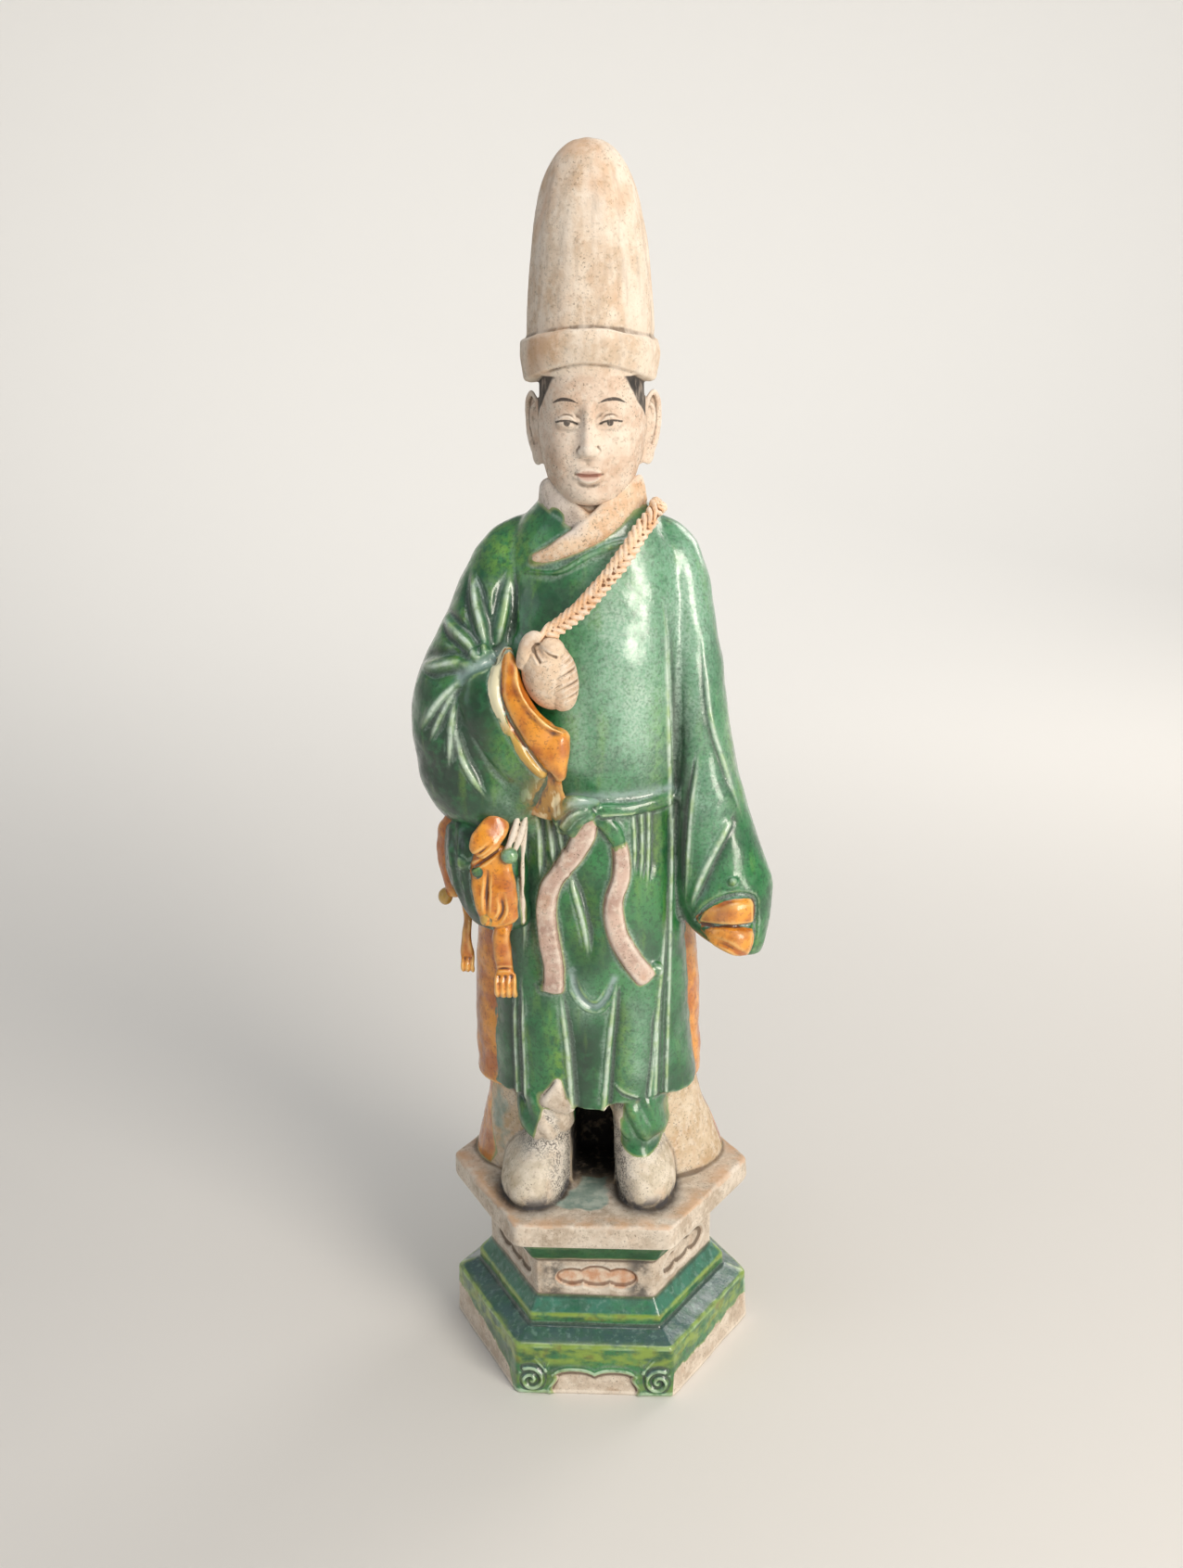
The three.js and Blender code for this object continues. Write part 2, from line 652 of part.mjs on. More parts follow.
// A scroll at each end of the apron: a spiral ridge on the front of the foot.
function scroll(side) {
  const middle = { x: side * footRadius * 0.4, z: footHeight * 0.34 };
  const reach = footHeight * 0.24;
  const turns = 1.6;
  const spiral = evenSteps(0, 1, 10).map((t) => {
    const turn = 2 * Math.PI * turns * t - Math.PI / 2;
    const radius = reach * (1 - 0.85 * t);
    return [middle.x + side * radius * Math.cos(turn), middle.z + radius * Math.sin(turn)];
  });
  const lean = footBatter / footHeight;
  const run = [[side * apronHalf, footHeight * 0.62], [side * apronHalf * 1.1, footHeight * 0.3], ...spiral];
  const points = run.map(([x, z]) => new THREE.Vector3(x, (lean * z - footRadius) * flatOfHexagon, z));
  const curve = new THREE.CatmullRomCurve3(points);
  const rings = evenSteps(0, 1, 18).map((t) => {
    const tangent = curve.getTangent(t);
    const across = new THREE.Vector3(-tangent.z, 0, tangent.x).normalize();
    return evenTurns(4).map((turn) => {
      const p = curve.getPoint(t).addScaledVector(across, scrollRelief * Math.cos(turn));
      return p.add(new THREE.Vector3(0, -scrollRelief * Math.sin(turn), 0));
    });
  });
  return loft(rings);
}

function plinth() {
  const outside = loft([
    hexagon(footRadius, 0),
    hexagon(footRadius - footBatter, footHeight),
    hexagon(tierRadius + stepReach, footHeight + stepSlope),
    hexagon(tierRadius, footHeight + stepSlope + stepLip),
    hexagon(tierRadius, tierTop),
    hexagon(waistRadius + stepLip, waistBottom - stepLip),
    hexagon(waistRadius, waistBottom),
    hexagon(waistRadius, waistTop),
    hexagon(waistRadius + flareSet, waistTop + flareRise),
    hexagon(corniceRadius, plinthHeight - corniceHeight),
    hexagon(corniceRadius, plinthHeight),
  ]);
  const inward = wallThickness / flatOfHexagon;
  const inside = loft([
    hexagon(footRadius - inward, -1),
    hexagon(footRadius - inward, footHeight - wallThickness),
    hexagon(waistRadius - inward, tierTop - wallThickness),
    hexagon(waistRadius - inward, plinthHeight - wallThickness),
  ]);
  const cuts = onFrontSides(waistPanel()).add(apronPanel());
  return outside.add(scroll(-1)).add(scroll(1)).subtract(cuts).subtract(inside);
}

const attendant = new THREE.Group();
attendant.add(mesh(figure(), "attendant_body", greenGlaze));
attendant.add(mesh(head(), "head_with_hat", bareClay));
attendant.position.z = slabTop;

const whole = new THREE.Group();
whole.add(attendant, mesh(plinth(), "hexagonal_plinth", plinthGlaze));

// Centre the whole over the origin.
const middle = new THREE.Box3().setFromObject(whole).getCenter(new THREE.Vector3());
whole.position.set(-middle.x, -middle.y, 0);

export default whole;
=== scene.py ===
import math

import bpy
import numpy as np
from mathutils import Matrix, Vector
from mathutils.bvhtree import BVHTree


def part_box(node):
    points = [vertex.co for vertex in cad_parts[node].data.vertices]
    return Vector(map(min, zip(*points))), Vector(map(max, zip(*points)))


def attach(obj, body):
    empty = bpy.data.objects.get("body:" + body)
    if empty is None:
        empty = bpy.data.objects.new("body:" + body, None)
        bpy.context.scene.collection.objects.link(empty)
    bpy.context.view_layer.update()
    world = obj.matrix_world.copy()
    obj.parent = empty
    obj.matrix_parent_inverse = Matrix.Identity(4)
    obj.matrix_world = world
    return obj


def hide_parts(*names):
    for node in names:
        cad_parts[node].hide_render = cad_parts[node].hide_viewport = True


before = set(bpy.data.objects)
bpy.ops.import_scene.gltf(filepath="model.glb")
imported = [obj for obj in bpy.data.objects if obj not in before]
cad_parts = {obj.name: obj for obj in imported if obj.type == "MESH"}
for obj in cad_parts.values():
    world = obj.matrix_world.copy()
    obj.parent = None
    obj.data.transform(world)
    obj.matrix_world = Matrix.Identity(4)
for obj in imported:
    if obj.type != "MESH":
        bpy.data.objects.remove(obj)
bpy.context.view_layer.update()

# The studio: a seamless pale sweep, a large soft window to the right of the camera, a weaker one to the
# left and a soft light overhead. The camera stands where the photograph was taken from.
MM = 0.001


def srgb(code):
    """The linear colour of an sRGB hex code such as "d9c4ad"."""
    parts = [int(code[i : i + 2], 16) / 255 for i in (0, 2, 4)]
    linear = [p / 12.92 if p <= 0.04045 else ((p + 0.055) / 1.055) ** 2.4 for p in parts]
    return (*linear, 1.0)


def node(tree, kind, links=(), **settings):
    """Adds a node. links gives its inputs by name or number: a socket or a field to link, or a value."""
    made = tree.nodes.new(kind)
    for key, value in settings.items():
        setattr(made, key, value)
    for key, value in dict(links).items():
        value = getattr(value, "socket", value)
        if isinstance(value, bpy.types.NodeSocket):
            tree.links.new(value, made.inputs[key])
        else:
            made.inputs[key].default_value = value
    return made


def new_material(name):
    material = bpy.data.materials.new(name)
    material.use_nodes = True
    material.node_tree.nodes.clear()
    return material, material.node_tree


def add_object(name, data):
    made = bpy.data.objects.new(name, data)
    bpy.context.scene.collection.objects.link(made)
    return made


def around(count):
    """So many angles evenly round a circle."""
    return np.linspace(0, 2 * math.pi, count, endpoint=False)


plinth_low, plinth_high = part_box("hexagonal_plinth")
AXIS = Vector(((plinth_low.x + plinth_high.x) / 2, (plinth_low.y + plinth_high.y) / 2, 0))

CAMERA_FROM_AXIS = Vector((44.7, -734.6, 538.4)) * MM
CAMERA_TURN, CAMERA_TIP, CAMERA_ROLL = math.radians(3.61), math.radians(17.6), math.radians(-0.8)
LENS, SENSOR, NEAREST = 35.98, 36, 0.01
camera = add_object("camera", bpy.data.cameras.new("camera"))
camera.data.lens, camera.data.sensor_width, camera.data.clip_start = LENS, SENSOR, NEAREST
aim = Matrix.Rotation(CAMERA_TURN, 4, "Z") @ Matrix.Rotation(math.pi / 2 - CAMERA_TIP, 4, "X")
camera.matrix_world = Matrix.Translation(AXIS + CAMERA_FROM_AXIS) @ aim @ Matrix.Rotation(CAMERA_ROLL, 4, "Z")
bpy.context.scene.camera = camera
bpy.context.scene.view_settings.view_transform = "Standard"

# The sweep: a flat disc of paper that curves up to its rim all round.
SWEEP_FLOOR, SWEEP_RADIUS, SWEEP_HEIGHT, SWEEP_SIDES = 0.4, 3.2, 1.8, 96
rise = np.linspace(0, math.pi / 2, 16)
reach = SWEEP_RADIUS - SWEEP_HEIGHT + SWEEP_HEIGHT * np.sin(rise)
sweep_rings = [(SWEEP_FLOOR, 0), *zip(reach, SWEEP_HEIGHT * (1 - np.cos(rise)))]
sweep_points = [(0, 0, 0)]
sweep_points += [(r * math.cos(a), r * math.sin(a), z) for r, z in sweep_rings for a in around(SWEEP_SIDES)]
sweep_faces = []
for i in range(SWEEP_SIDES):
    j = (i + 1) % SWEEP_SIDES
    sweep_faces.append((0, 1 + i, 1 + j))
    for low in range(1, 1 + (len(sweep_rings) - 1) * SWEEP_SIDES, SWEEP_SIDES):
        sweep_faces.append((low + i, low + SWEEP_SIDES + i, low + SWEEP_SIDES + j, low + j))
sweep_mesh = bpy.data.meshes.new("studio_sweep")
sweep_mesh.from_pydata(sweep_points, [], sweep_faces)
sweep_mesh.shade_smooth()
add_object("studio_sweep", sweep_mesh)
paper, tree = new_material("matt_paper_sweep")
shader = node(tree, "ShaderNodeBsdfPrincipled", {"Base Color": srgb("e2dfda"), "Roughness": 0.8})
node(tree, "ShaderNodeOutputMaterial", {"Surface": shader.outputs[0]})
sweep_mesh.materials.append(paper)

world = bpy.data.worlds.new("studio_air")
world.use_nodes = True
air = world.node_tree.nodes["Background"]
air.inputs["Color"].default_value, air.inputs["Strength"].default_value = srgb("dfe4ea"), 0.32
bpy.context.scene.world = world

# Each softbox: its name, place and target in metres, width, height, power in watts and colour.
SOFTBOXES = [
    ("window_right", (0.95, -1.05, 0.85), (0, 0, 0.3), 0.6, 1.1, 21, "fff6ea"),
    ("window_left", (-1.5, -0.9, 0.9), (0, 0, 0.3), 0.7, 1.2, 2.2, "e9f1ff"),
    ("overhead", (0.1, -0.25, 1.75), (0, 0, 0.3), 0.9, 0.9, 6, "ffffff"),
    ("rear_right", (0.9, 1.1, 1.0), (0, 0, 0.3), 0.6, 0.9, 6, "fff8f0"),
    ("backdrop_wash", (0, 1.3, 1.7), (0, 2.9, 0.5), 2.4, 0.9, 30, "fbfaf8"),
]
for name, place, target, wide, high, power, tone in SOFTBOXES:
    lamp = add_object(name, bpy.data.lights.new(name, "AREA"))
    lamp.data.shape, lamp.data.size, lamp.data.size_y = "RECTANGLE", wide, high
    lamp.data.energy, lamp.data.color = power, srgb(tone)[:3]
    lamp.location = place
    lamp.rotation_euler = (Vector(target) - Vector(place)).to_track_quat("-Z", "Y").to_euler()


# The plinth: moulded earthenware in the form of a stepped hexagon, hollow and open below. Its slopes are
# green lead glaze, its waist is bare and painted, and glaze ran down the foot to a bare edge.
FOOT_RADIUS, FOOT_HEIGHT, FOOT_BATTER = 80, 28.3, 1.4
TIER_RADIUS, TIER_TOP, STEP_SLOPE, STEP_REACH, STEP_LIP = 66.5, 39.2, 4, 2.5, 1
WAIST_RADIUS, WAIST_BOTTOM, WAIST_TOP = 59.5, 46.6, 68
FLARE_SET, FLARE_RISE = 3.5, 2.4
CORNICE_RADIUS, CORNICE_HEIGHT = 68, 5
PLINTH_HEIGHT = plinth_high.z / MM
WALL = 9
FLAT = math.cos(math.pi / 6)
CORNER_SHARPNESS = 90


def smoothstep(value, low, high):
    t = np.clip((value - low) / (high - low), 0, 1)
    return t * t * (3 - 2 * t)


def near(value, middle, width):
    return np.exp(-(((value - middle) / width) ** 2))


def wobble(points, size, seed, waves=9):
    """A smooth random value from about -1 to 1 at each point, with bumps of about that size."""
    draw = np.random.default_rng(seed)
    total = np.zeros(len(points))
    for _ in range(waves):
        way = draw.normal(size=3)
        way *= draw.uniform(0.6, 1.4) * math.pi / size / np.linalg.norm(way)
        total += np.sin(points @ way + draw.uniform(0, 2 * math.pi))
    return total / math.sqrt(waves)


def loft(rings):
    """A closed skin over rings of equal count, with a fan about the middle of each end ring."""
    rings = np.asarray(rings, float)
    count, sides = rings.shape[:2]
    points = np.concatenate([rings.reshape(-1, 3), rings[[0, -1]].mean(axis=1)])
    i = np.arange(sides)
    j = (i + 1) % sides
    faces = []
    for k in range(count - 1):
        low, high = k * sides, (k + 1) * sides
        faces += np.stack([low + i, low + j, high + j, high + i], 1).tolist()
    foot, top = count * sides, count * sides + 1
    last = (count - 1) * sides
    faces += [[foot, b, a] for a, b in zip(i.tolist(), j.tolist())]
    faces += [[top, last + a, last + b] for a, b in zip(i.tolist(), j.tolist())]
    return points, faces


def to_metres(points):
    """Millimetres from the axis at the ground as metres in the frame."""
    return np.asarray(points) * MM + np.array([AXIS.x, AXIS.y, 0.0])


def make_mesh(name, points, faces):
    mesh = bpy.data.meshes.new(name)
    mesh.from_pydata(to_metres(points).tolist(), [], faces)
    mesh.shade_smooth()
    return mesh


def write_points(mesh, points):
    mesh.vertices.foreach_set("co", to_metres(points).ravel())
    mesh.update()


def read_mesh(mesh, height=0.0):
    """The points in millimetres above a height in metres, the normals and the edges of a Blender mesh."""
    points, normals = np.empty((2, len(mesh.vertices) * 3))
    mesh.vertices.foreach_get("co", points)
    mesh.vertex_normals.foreach_get("vector", normals)
    edges = np.empty(len(mesh.edges) * 2, int)
    mesh.edges.foreach_get("vertices", edges)
    points = (points.reshape(-1, 3) - np.array([AXIS.x, AXIS.y, height])) / MM
    return points, normals.reshape(-1, 3), edges.reshape(-1, 2)


def neighbours_mean(values, edges):
    """The mean of each point's neighbours."""
    count = len(values)
    (a, b), degree = edges.T, np.maximum(np.bincount(edges.ravel(), minlength=count), 1)
    sums = [np.bincount(a, column[b], count) + np.bincount(b, column[a], count) for column in values.T]
    return np.stack(sums, 1) / degree[:, None]


def relax(points, edges, rounds, share=0.5):
    for _ in range(rounds):
        points = points + share * (neighbours_mean(points, edges) - points)
    return points


def crests(points, normals, edges, rounds):
    """How far each point stands out of its surroundings, in millimetres: positive on a ridge."""
    blurred = relax(points, edges, rounds, 0.7)
    return ((points - blurred) * normals).sum(1)


def mark(mesh, **fields):
    """Paints numbers on the points of a mesh, for its material to read by name."""
    for name, values in fields.items():
        made = mesh.attributes.new(name, "FLOAT", "POINT")
        made.data.foreach_set("value", np.asarray(values, np.float32))


class Field:
    """What a surface's nodes give at each point. It adds, subtracts and multiplies as a number does."""

    def __init__(self, socket):
        self.socket = socket

    def combined(self, kind, other=0.0):
        return Field(node(self.socket.id_data, "ShaderNodeMath", {0: self, 1: other}, operation=kind).outputs[0])

    def __add__(self, other):
        return self.combined("ADD", other)

    def __sub__(self, other):
        return self.combined("SUBTRACT", other)

    def __mul__(self, other):
        return self.combined("MULTIPLY", other)


def field(at, source):
    """The field of a source: one that is made already, an axis of at, an attribute's name, or a noise from 0 to 1.

    A noise is given as the width of its bumps in millimetres, its detail and, for streaks, its scale in z."""
    if isinstance(source, Field):
        return source
    tree = at.id_data
    if isinstance(source, tuple):
        size, detail, *drawn = source
        if drawn:
            at = node(tree, "ShaderNodeMapping", {"Vector": at, "Scale": (1, 1, *drawn)}).outputs[0]
        links = {"Vector": at, "Scale": 1 / (size * MM), "Detail": detail}
        return Field(node(tree, "ShaderNodeTexNoise", links).outputs[0])
    if source in ("X", "Y", "Z"):
        return Field(node(tree, "ShaderNodeSeparateXYZ", {0: at}).outputs[source])
    return Field(node(tree, "ShaderNodeAttribute", attribute_name=source).outputs["Fac"])


def mask(at, source, low, high, most=1.0, least=0.0):
    """Goes smoothly from least to most while the source goes from low to high."""
    links = {"Value": field(at, source), "From Min": low, "From Max": high, "To Min": least, "To Max": most}
    return Field(node(at.id_data, "ShaderNodeMapRange", links, interpolation_type="SMOOTHSTEP").outputs[0])


def coats(at, colour, *layers):
    """Lays tones over a colour. Each layer is a mask, or what mask() takes for one, and then the tone."""
    for *where, tone in layers:
        share = where[0] if len(where) == 1 else mask(at, *where)
        below, above = (srgb(c) if isinstance(c, str) else c for c in (colour, tone))
        colour = Field(node(at.id_data, "ShaderNodeMix", {0: share, 6: below, 7: above}, data_type="RGBA").outputs[2])
    return colour


def green_glaze(at, cloud=0.0, deep=0.0, yellow=0.0):
    """Copper-green lead glaze: dark where it pooled, with painted shade in its hollows, thinner and yellow on edges,
    with a painted highlight on its ridges, and a pale film from burial.

    Its three weights say where more of each is wanted, from 0 to 1: the pale film with a painted reflection of the
    window, pooled glaze with painted shade, and yellow glaze."""
    mottled = mask(at, (4.5, 6), 0.32, 0.6)
    thin_glaze_and_highlight = coats(at, "aecdb4", ((7, 4), 0.42, 0.6, "8fb15a"))
    bloom_and_sheen = mask(at, (31, 5), 0.54, 0.74, 0.35) + mask(at, "crest_mm", -0.02, -0.12, 0.45) + cloud * 0.75
    bloom_and_sheen *= mask(at, (9, 6, 0.3), 0.3, 0.66, 1.15, 0.6)
    return coats(
        at, "0f5530",
        ((22, 5), 0.38, 0.62, "2b7d44"),
        # A painted reflection of the window, with the pale film, where the first weight asks for it.
        ((mottled + 0.5) * cloud, "5f9e78"),
        # Pooled glaze with painted shade, where the second weight asks for it.
        ((mottled + 0.45) * deep, "063620"),
        (mask(at, (8, 5, 0.22), 0.54, 0.74, 0.45) + mottled * yellow, "6f9f38"),
        ((1.9, 4), 0.48, 0.66, 0.55, "0a4427"),
        ((0.9, 3), 0.6, 0.7, 0.6, "1f3322"),
        # Painted shade in the hollows, with the glaze that pooled there.
        ("crest_mm", -0.03, -0.26, 0.9, "072a1c"),
        # Thinner glaze on the ridges, with a painted highlight.
        (mask(at, "crest_mm", 0.06, 0.36, 0.6) * mask(at, (3, 4), 0.34, 0.56, 1.0, 0.2), thin_glaze_and_highlight),
        (bloom_and_sheen * mask(at, (1.3, 8), 0.3, 0.66, 0.95, 0.3), "adccba"),
    )


def bare_clay(at, light, dark, rust=0.35):
    """Buff clay under the remains of a pale slip, with earth and painted shade in its hollows, a painted highlight on
    its ridges, rusty stains and dark specks.
    """
    return coats(
        at, dark,
        ((13, 6), 0.32, 0.66, light),
        ((9, 6), 0.5, 0.78, rust, "c29064"),
        ((3.4, 8), 0.44, 0.7, 0.5, "ebe1d3"),
        ((1.6, 8), 0.52, 0.7, 0.42, "8d7c68"),
        (mask(at, (0.8, 3), 0.6, 0.7, 0.75) * mask(at, (12, 4), 0.42, 0.62), "584d42"),
        # Painted shade in the hollows, with earth; a painted highlight on the ridges.
        ("crest_mm", -0.03, -0.26, 0.8, "5f4d3c"),
        ("crest_mm", 0.04, 0.3, 0.45, "f3ebdf"),
    )


def fired_clay(at, colour, bare):
    """Glaze that is glossy with fine pits, or clay that is matt and grainy where bare is 1."""
    tree, rough, coat, grain = at.id_data, 0.86, 0.0, 0.2
    if isinstance(bare, Field):
        worn = mask(at, (5, 6), 0.4, 0.64, 0.6, 0.28)
        rough, grain = (
            Field(node(tree, "ShaderNodeMapRange", {"Value": bare, "To Min": glossy, "To Max": matt}).outputs[0])
            for glossy, matt in ((worn, rough), (0.05, grain))
        )
        coat = mask(at, bare, 0.0, 0.6, 0.0, 0.75)
    height = field(at, (1.0, 5)) * grain + field(at, (3.8, 3)) * 0.14
    bump = node(tree, "ShaderNodeBump", {"Height": height, "Distance": MM, "Strength": 1.0}).outputs[0]
    links = {"Base Color": colour, "Roughness": rough, "IOR": 1.55, "Coat Weight": coat, "Coat Roughness": 0.16}
    links |= {"Coat IOR": 1.6, "Normal": bump, "Coat Normal": bump}
    shader = node(tree, "ShaderNodeBsdfPrincipled", links)
    node(tree, "ShaderNodeOutputMaterial", {"Surface": shader.outputs[0]})


def hexagon_reach(turn, sharpness=CORNER_SHARPNESS):
    """The reach of a hexagon of corner radius 1 with softened corners, a side to the front."""
    sides = np.arange(6) * math.pi / 3 + math.pi / 6
    facing = np.maximum(np.cos(turn[:, None] - sides[None, :]), 0)
    return FLAT / (facing**sharpness).sum(1) ** (1 / sharpness)


def rounded_profile(corners, radius, step):
    """Points along a broken line of (radius, height) whose corners are rounded off."""
    corners = np.array(corners, float)
    dense = [corners[0]]
    for a, b in zip(corners[:-1], corners[1:]):
        count = max(1, int(round(np.linalg.norm(b - a) / step)))
        dense += [a + (b - a) * k / count for k in range(1, count + 1)]
    dense = np.array(dense)
    for _ in range(int((radius / step) ** 2)):
        dense[1:-1] += 0.5 * ((dense[:-2] + dense[2:]) / 2 - dense[1:-1])
    return dense


def turned(profile, turns, reach=1.0, middle=(0, 0)):
    """A ring about an upright axis for each radius and height of a profile. reach varies the radius round the ring."""
    cos, sin = np.cos(turns), np.sin(turns)
    x, y = middle
    return [np.stack([x + r * reach * cos, y + r * reach * sin, z + 0 * turns], 1) for r, z in profile]


def plinth_rings():
    """From the middle of the hollow's roof down, under the foot, up the outside and in over the top.

    The points stand closer across the carved front."""
    half = math.pi / 5.6
    across = np.linspace(-half, half, 300, endpoint=False)
    turns = np.concatenate([across, np.linspace(half, 2 * math.pi - half, 330, endpoint=False)]) - math.pi / 2
    inward, hub = WALL / FLAT, 4
    inside = [
        (hub, PLINTH_HEIGHT - WALL),
        (WAIST_RADIUS - inward, PLINTH_HEIGHT - WALL),
        (WAIST_RADIUS - inward, TIER_TOP - WALL),
        (FOOT_RADIUS - inward, FOOT_HEIGHT - WALL),
        (FOOT_RADIUS - inward, 0),
    ]
    outside = [
        (FOOT_RADIUS, 0),
        (FOOT_RADIUS - FOOT_BATTER, FOOT_HEIGHT),
        (TIER_RADIUS + STEP_REACH, FOOT_HEIGHT + STEP_SLOPE),
        (TIER_RADIUS, FOOT_HEIGHT + STEP_SLOPE + STEP_LIP),
        (TIER_RADIUS, TIER_TOP),
        (WAIST_RADIUS + STEP_LIP, WAIST_BOTTOM - STEP_LIP),
        (WAIST_RADIUS, WAIST_BOTTOM),
        (WAIST_RADIUS, WAIST_TOP),
        (WAIST_RADIUS + FLARE_SET, WAIST_TOP + FLARE_RISE),
        (CORNICE_RADIUS, PLINTH_HEIGHT - CORNICE_HEIGHT),
        (CORNICE_RADIUS, PLINTH_HEIGHT),
        (hub, PLINTH_HEIGHT),
    ]
    profile = np.concatenate([rounded_profile(inside, 1.2, 4), rounded_profile(outside, 1.0, 0.95)])
    return turned(profile, turns, hexagon_reach(turns))


def distance_to_line(line, u, v):
    """How far each (u, v) lies from a broken line, how far along it from 0 to 1, and on which side."""
    line = np.asarray(line, float)
    a, b = line[:-1], line[1:]
    lengths = np.linalg.norm(b - a, axis=1)
    starts = np.concatenate([[0], np.cumsum(lengths)[:-1]])
    best = np.full(len(u), 1e9)
    share = np.zeros(len(u))
    side = np.zeros(len(u))
    for (ax, av), (bx, bv), length, start in zip(a, b, lengths, starts):
        dx, dv = (bx - ax) / length, (bv - av) / length
        px, pv = u - ax, v - av
        run = np.clip(px * dx + pv * dv, 0, length)
        gap = np.hypot(px - run * dx, pv - run * dv)
        closer = gap < best
        best = np.where(closer, gap, best)
        share = np.where(closer, (start + run) / lengths.sum(), share)
        side = np.where(closer, np.sign(dx * pv - dv * px), side)
    return best, share, side


# The apron on the foot's front side, measured across from the middle and up from the ground.
APRON_HALF, APRON_RISE, APRON_SINK = 20.5, 13.5, 1.9
SCROLL_MIDDLE, SCROLL_REACH, SCROLL_TURNS = (32.5, 8.6), 7.0, 1.5
CARTOUCHE_MIDDLE, CARTOUCHE_SINK = (WAIST_BOTTOM + WAIST_TOP) / 2 - 0.3, 2.0


def apron_depth(u, v):
    """How far inside the cusped panel a point is: positive inside, in millimetres."""
    lobe = APRON_HALF * 0.5
    arch = APRON_RISE - 2.6 * (np.abs(np.abs(u) - lobe) / lobe) ** 2.6
    return np.minimum(arch - v, APRON_HALF + 1.5 * np.sin(v * 0.5) - np.abs(u))


def cartouche_depth(u, v):
    lobes = [(-12, 0.1, 8.6, 5.6), (0.5, 0.6, 10, 6.8), (13, 0.2, 8.8, 6.0)]
    inside = [1 - np.hypot((u - x) / wide, (v - CARTOUCHE_MIDDLE - z) / high) for x, z, wide, high in lobes]
    return 5 * np.max(inside, axis=0)


def scroll_line(side):
    turn = np.linspace(0, 1, 60)
    angle = 2 * math.pi * SCROLL_TURNS * turn + math.pi * 0.35
    radius = SCROLL_REACH * (1 - 0.86 * turn)
    u = SCROLL_MIDDLE[0] + radius * np.cos(angle)
    v = SCROLL_MIDDLE[1] + radius * np.sin(angle)
    return np.stack([side * u, v], 1)


def moulded_plinth():
    mesh = make_mesh("hexagonal_plinth_glazed", *loft(plinth_rings()))
    points, normals, edges = read_mesh(mesh)
    x, y, z = points.T
    foot_front = (normals[:, 1] < -0.6) & (y < -FOOT_RADIUS * FLAT + 4) & (z < FOOT_HEIGHT - 1)
    panel = apron_depth(x, z)
    push = 0.7 * near(panel, -1.6, 1.1) - APRON_SINK * smoothstep(panel, -0.3, 0.9)
    for side in (-1, 1):
        gap, _, _ = distance_to_line(scroll_line(side), x, z)
        push += (1.5 * near(gap, 0, 1.0) - 0.7 * near(gap, 1.9, 0.8)) * smoothstep(FOOT_HEIGHT - z, 3, 8)
        for line in ([(24.5, 14), (31, 22)], [(26.5, 11.5), (22.5, 20.5)]):
            gap, share, _ = distance_to_line([(side * u, v) for u, v in line], x, z)
            push += 0.9 * near(gap, 0, 0.9) * (1 - share) ** 0.5
    push *= foot_front
    for turn in (-math.pi / 3, 0, math.pi / 3):
        across, facing = x * math.cos(turn) + y * math.sin(turn), y * math.cos(turn) - x * math.sin(turn)
        on_waist = (facing < -WAIST_RADIUS * FLAT + 3) & (np.abs(z - CARTOUCHE_MIDDLE) < 9)
        on_waist &= np.abs(across) < WAIST_RADIUS / 2 - 1
        push -= on_waist * CARTOUCHE_SINK * smoothstep(cartouche_depth(across, z), -0.1, 0.7)
    clay = 0.25 * wobble(points, 18, 3) + 0.1 * wobble(points, 6, 4)
    keep = (z > 0.8) & (z < PLINTH_HEIGHT - 1)
    points = points + normals * ((push + clay) * keep)[:, None]
    moved = relax(points, edges, 1, 0.4)
    moved[:, 2] = np.where(keep, moved[:, 2], points[:, 2])
    write_points(mesh, moved)
    points, normals, edges = read_mesh(mesh)
    x, y, z = points.T
    on_foot = (y < -FOOT_RADIUS * FLAT + 5) & (z < FOOT_HEIGHT)
    on_waist = (y < -WAIST_RADIUS * FLAT + 5) & (z > WAIST_BOTTOM - 1) & (z < WAIST_TOP + 1)
    mark(
        mesh, crest_mm=crests(points, normals, edges, 6), apron_mm=np.where(on_foot, apron_depth(x, z), -20),
        cartouche_mm=np.where(on_waist, cartouche_depth(x, z), -20), glaze_mm=plinth_glaze(x, y, z),
    )
    return mesh


def plinth_glaze(x, y, z):
    """Positive where glaze covers the plinth: how far inside its edge, in millimetres."""
    turns = [-180, -150, -95, -88, -60, -36, -31, 29.5, 31, 44, 60, 86, 92, 130, 180]
    edge = [13, 12, 15, 19, 15, 9, -5, -5, 13.5, 13.5, 14.5, 15.5, 13, 16, 13]
    foot = np.minimum(z - np.interp(np.degrees(np.arctan2(x, -y)), turns, edge), WAIST_BOTTOM + 0.6 - z)
    return np.maximum(foot, z - WAIST_TOP - 2.2)


plinth = add_object("hexagonal_plinth_glazed", moulded_plinth())
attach(plinth, "root")
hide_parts("hexagonal_plinth")

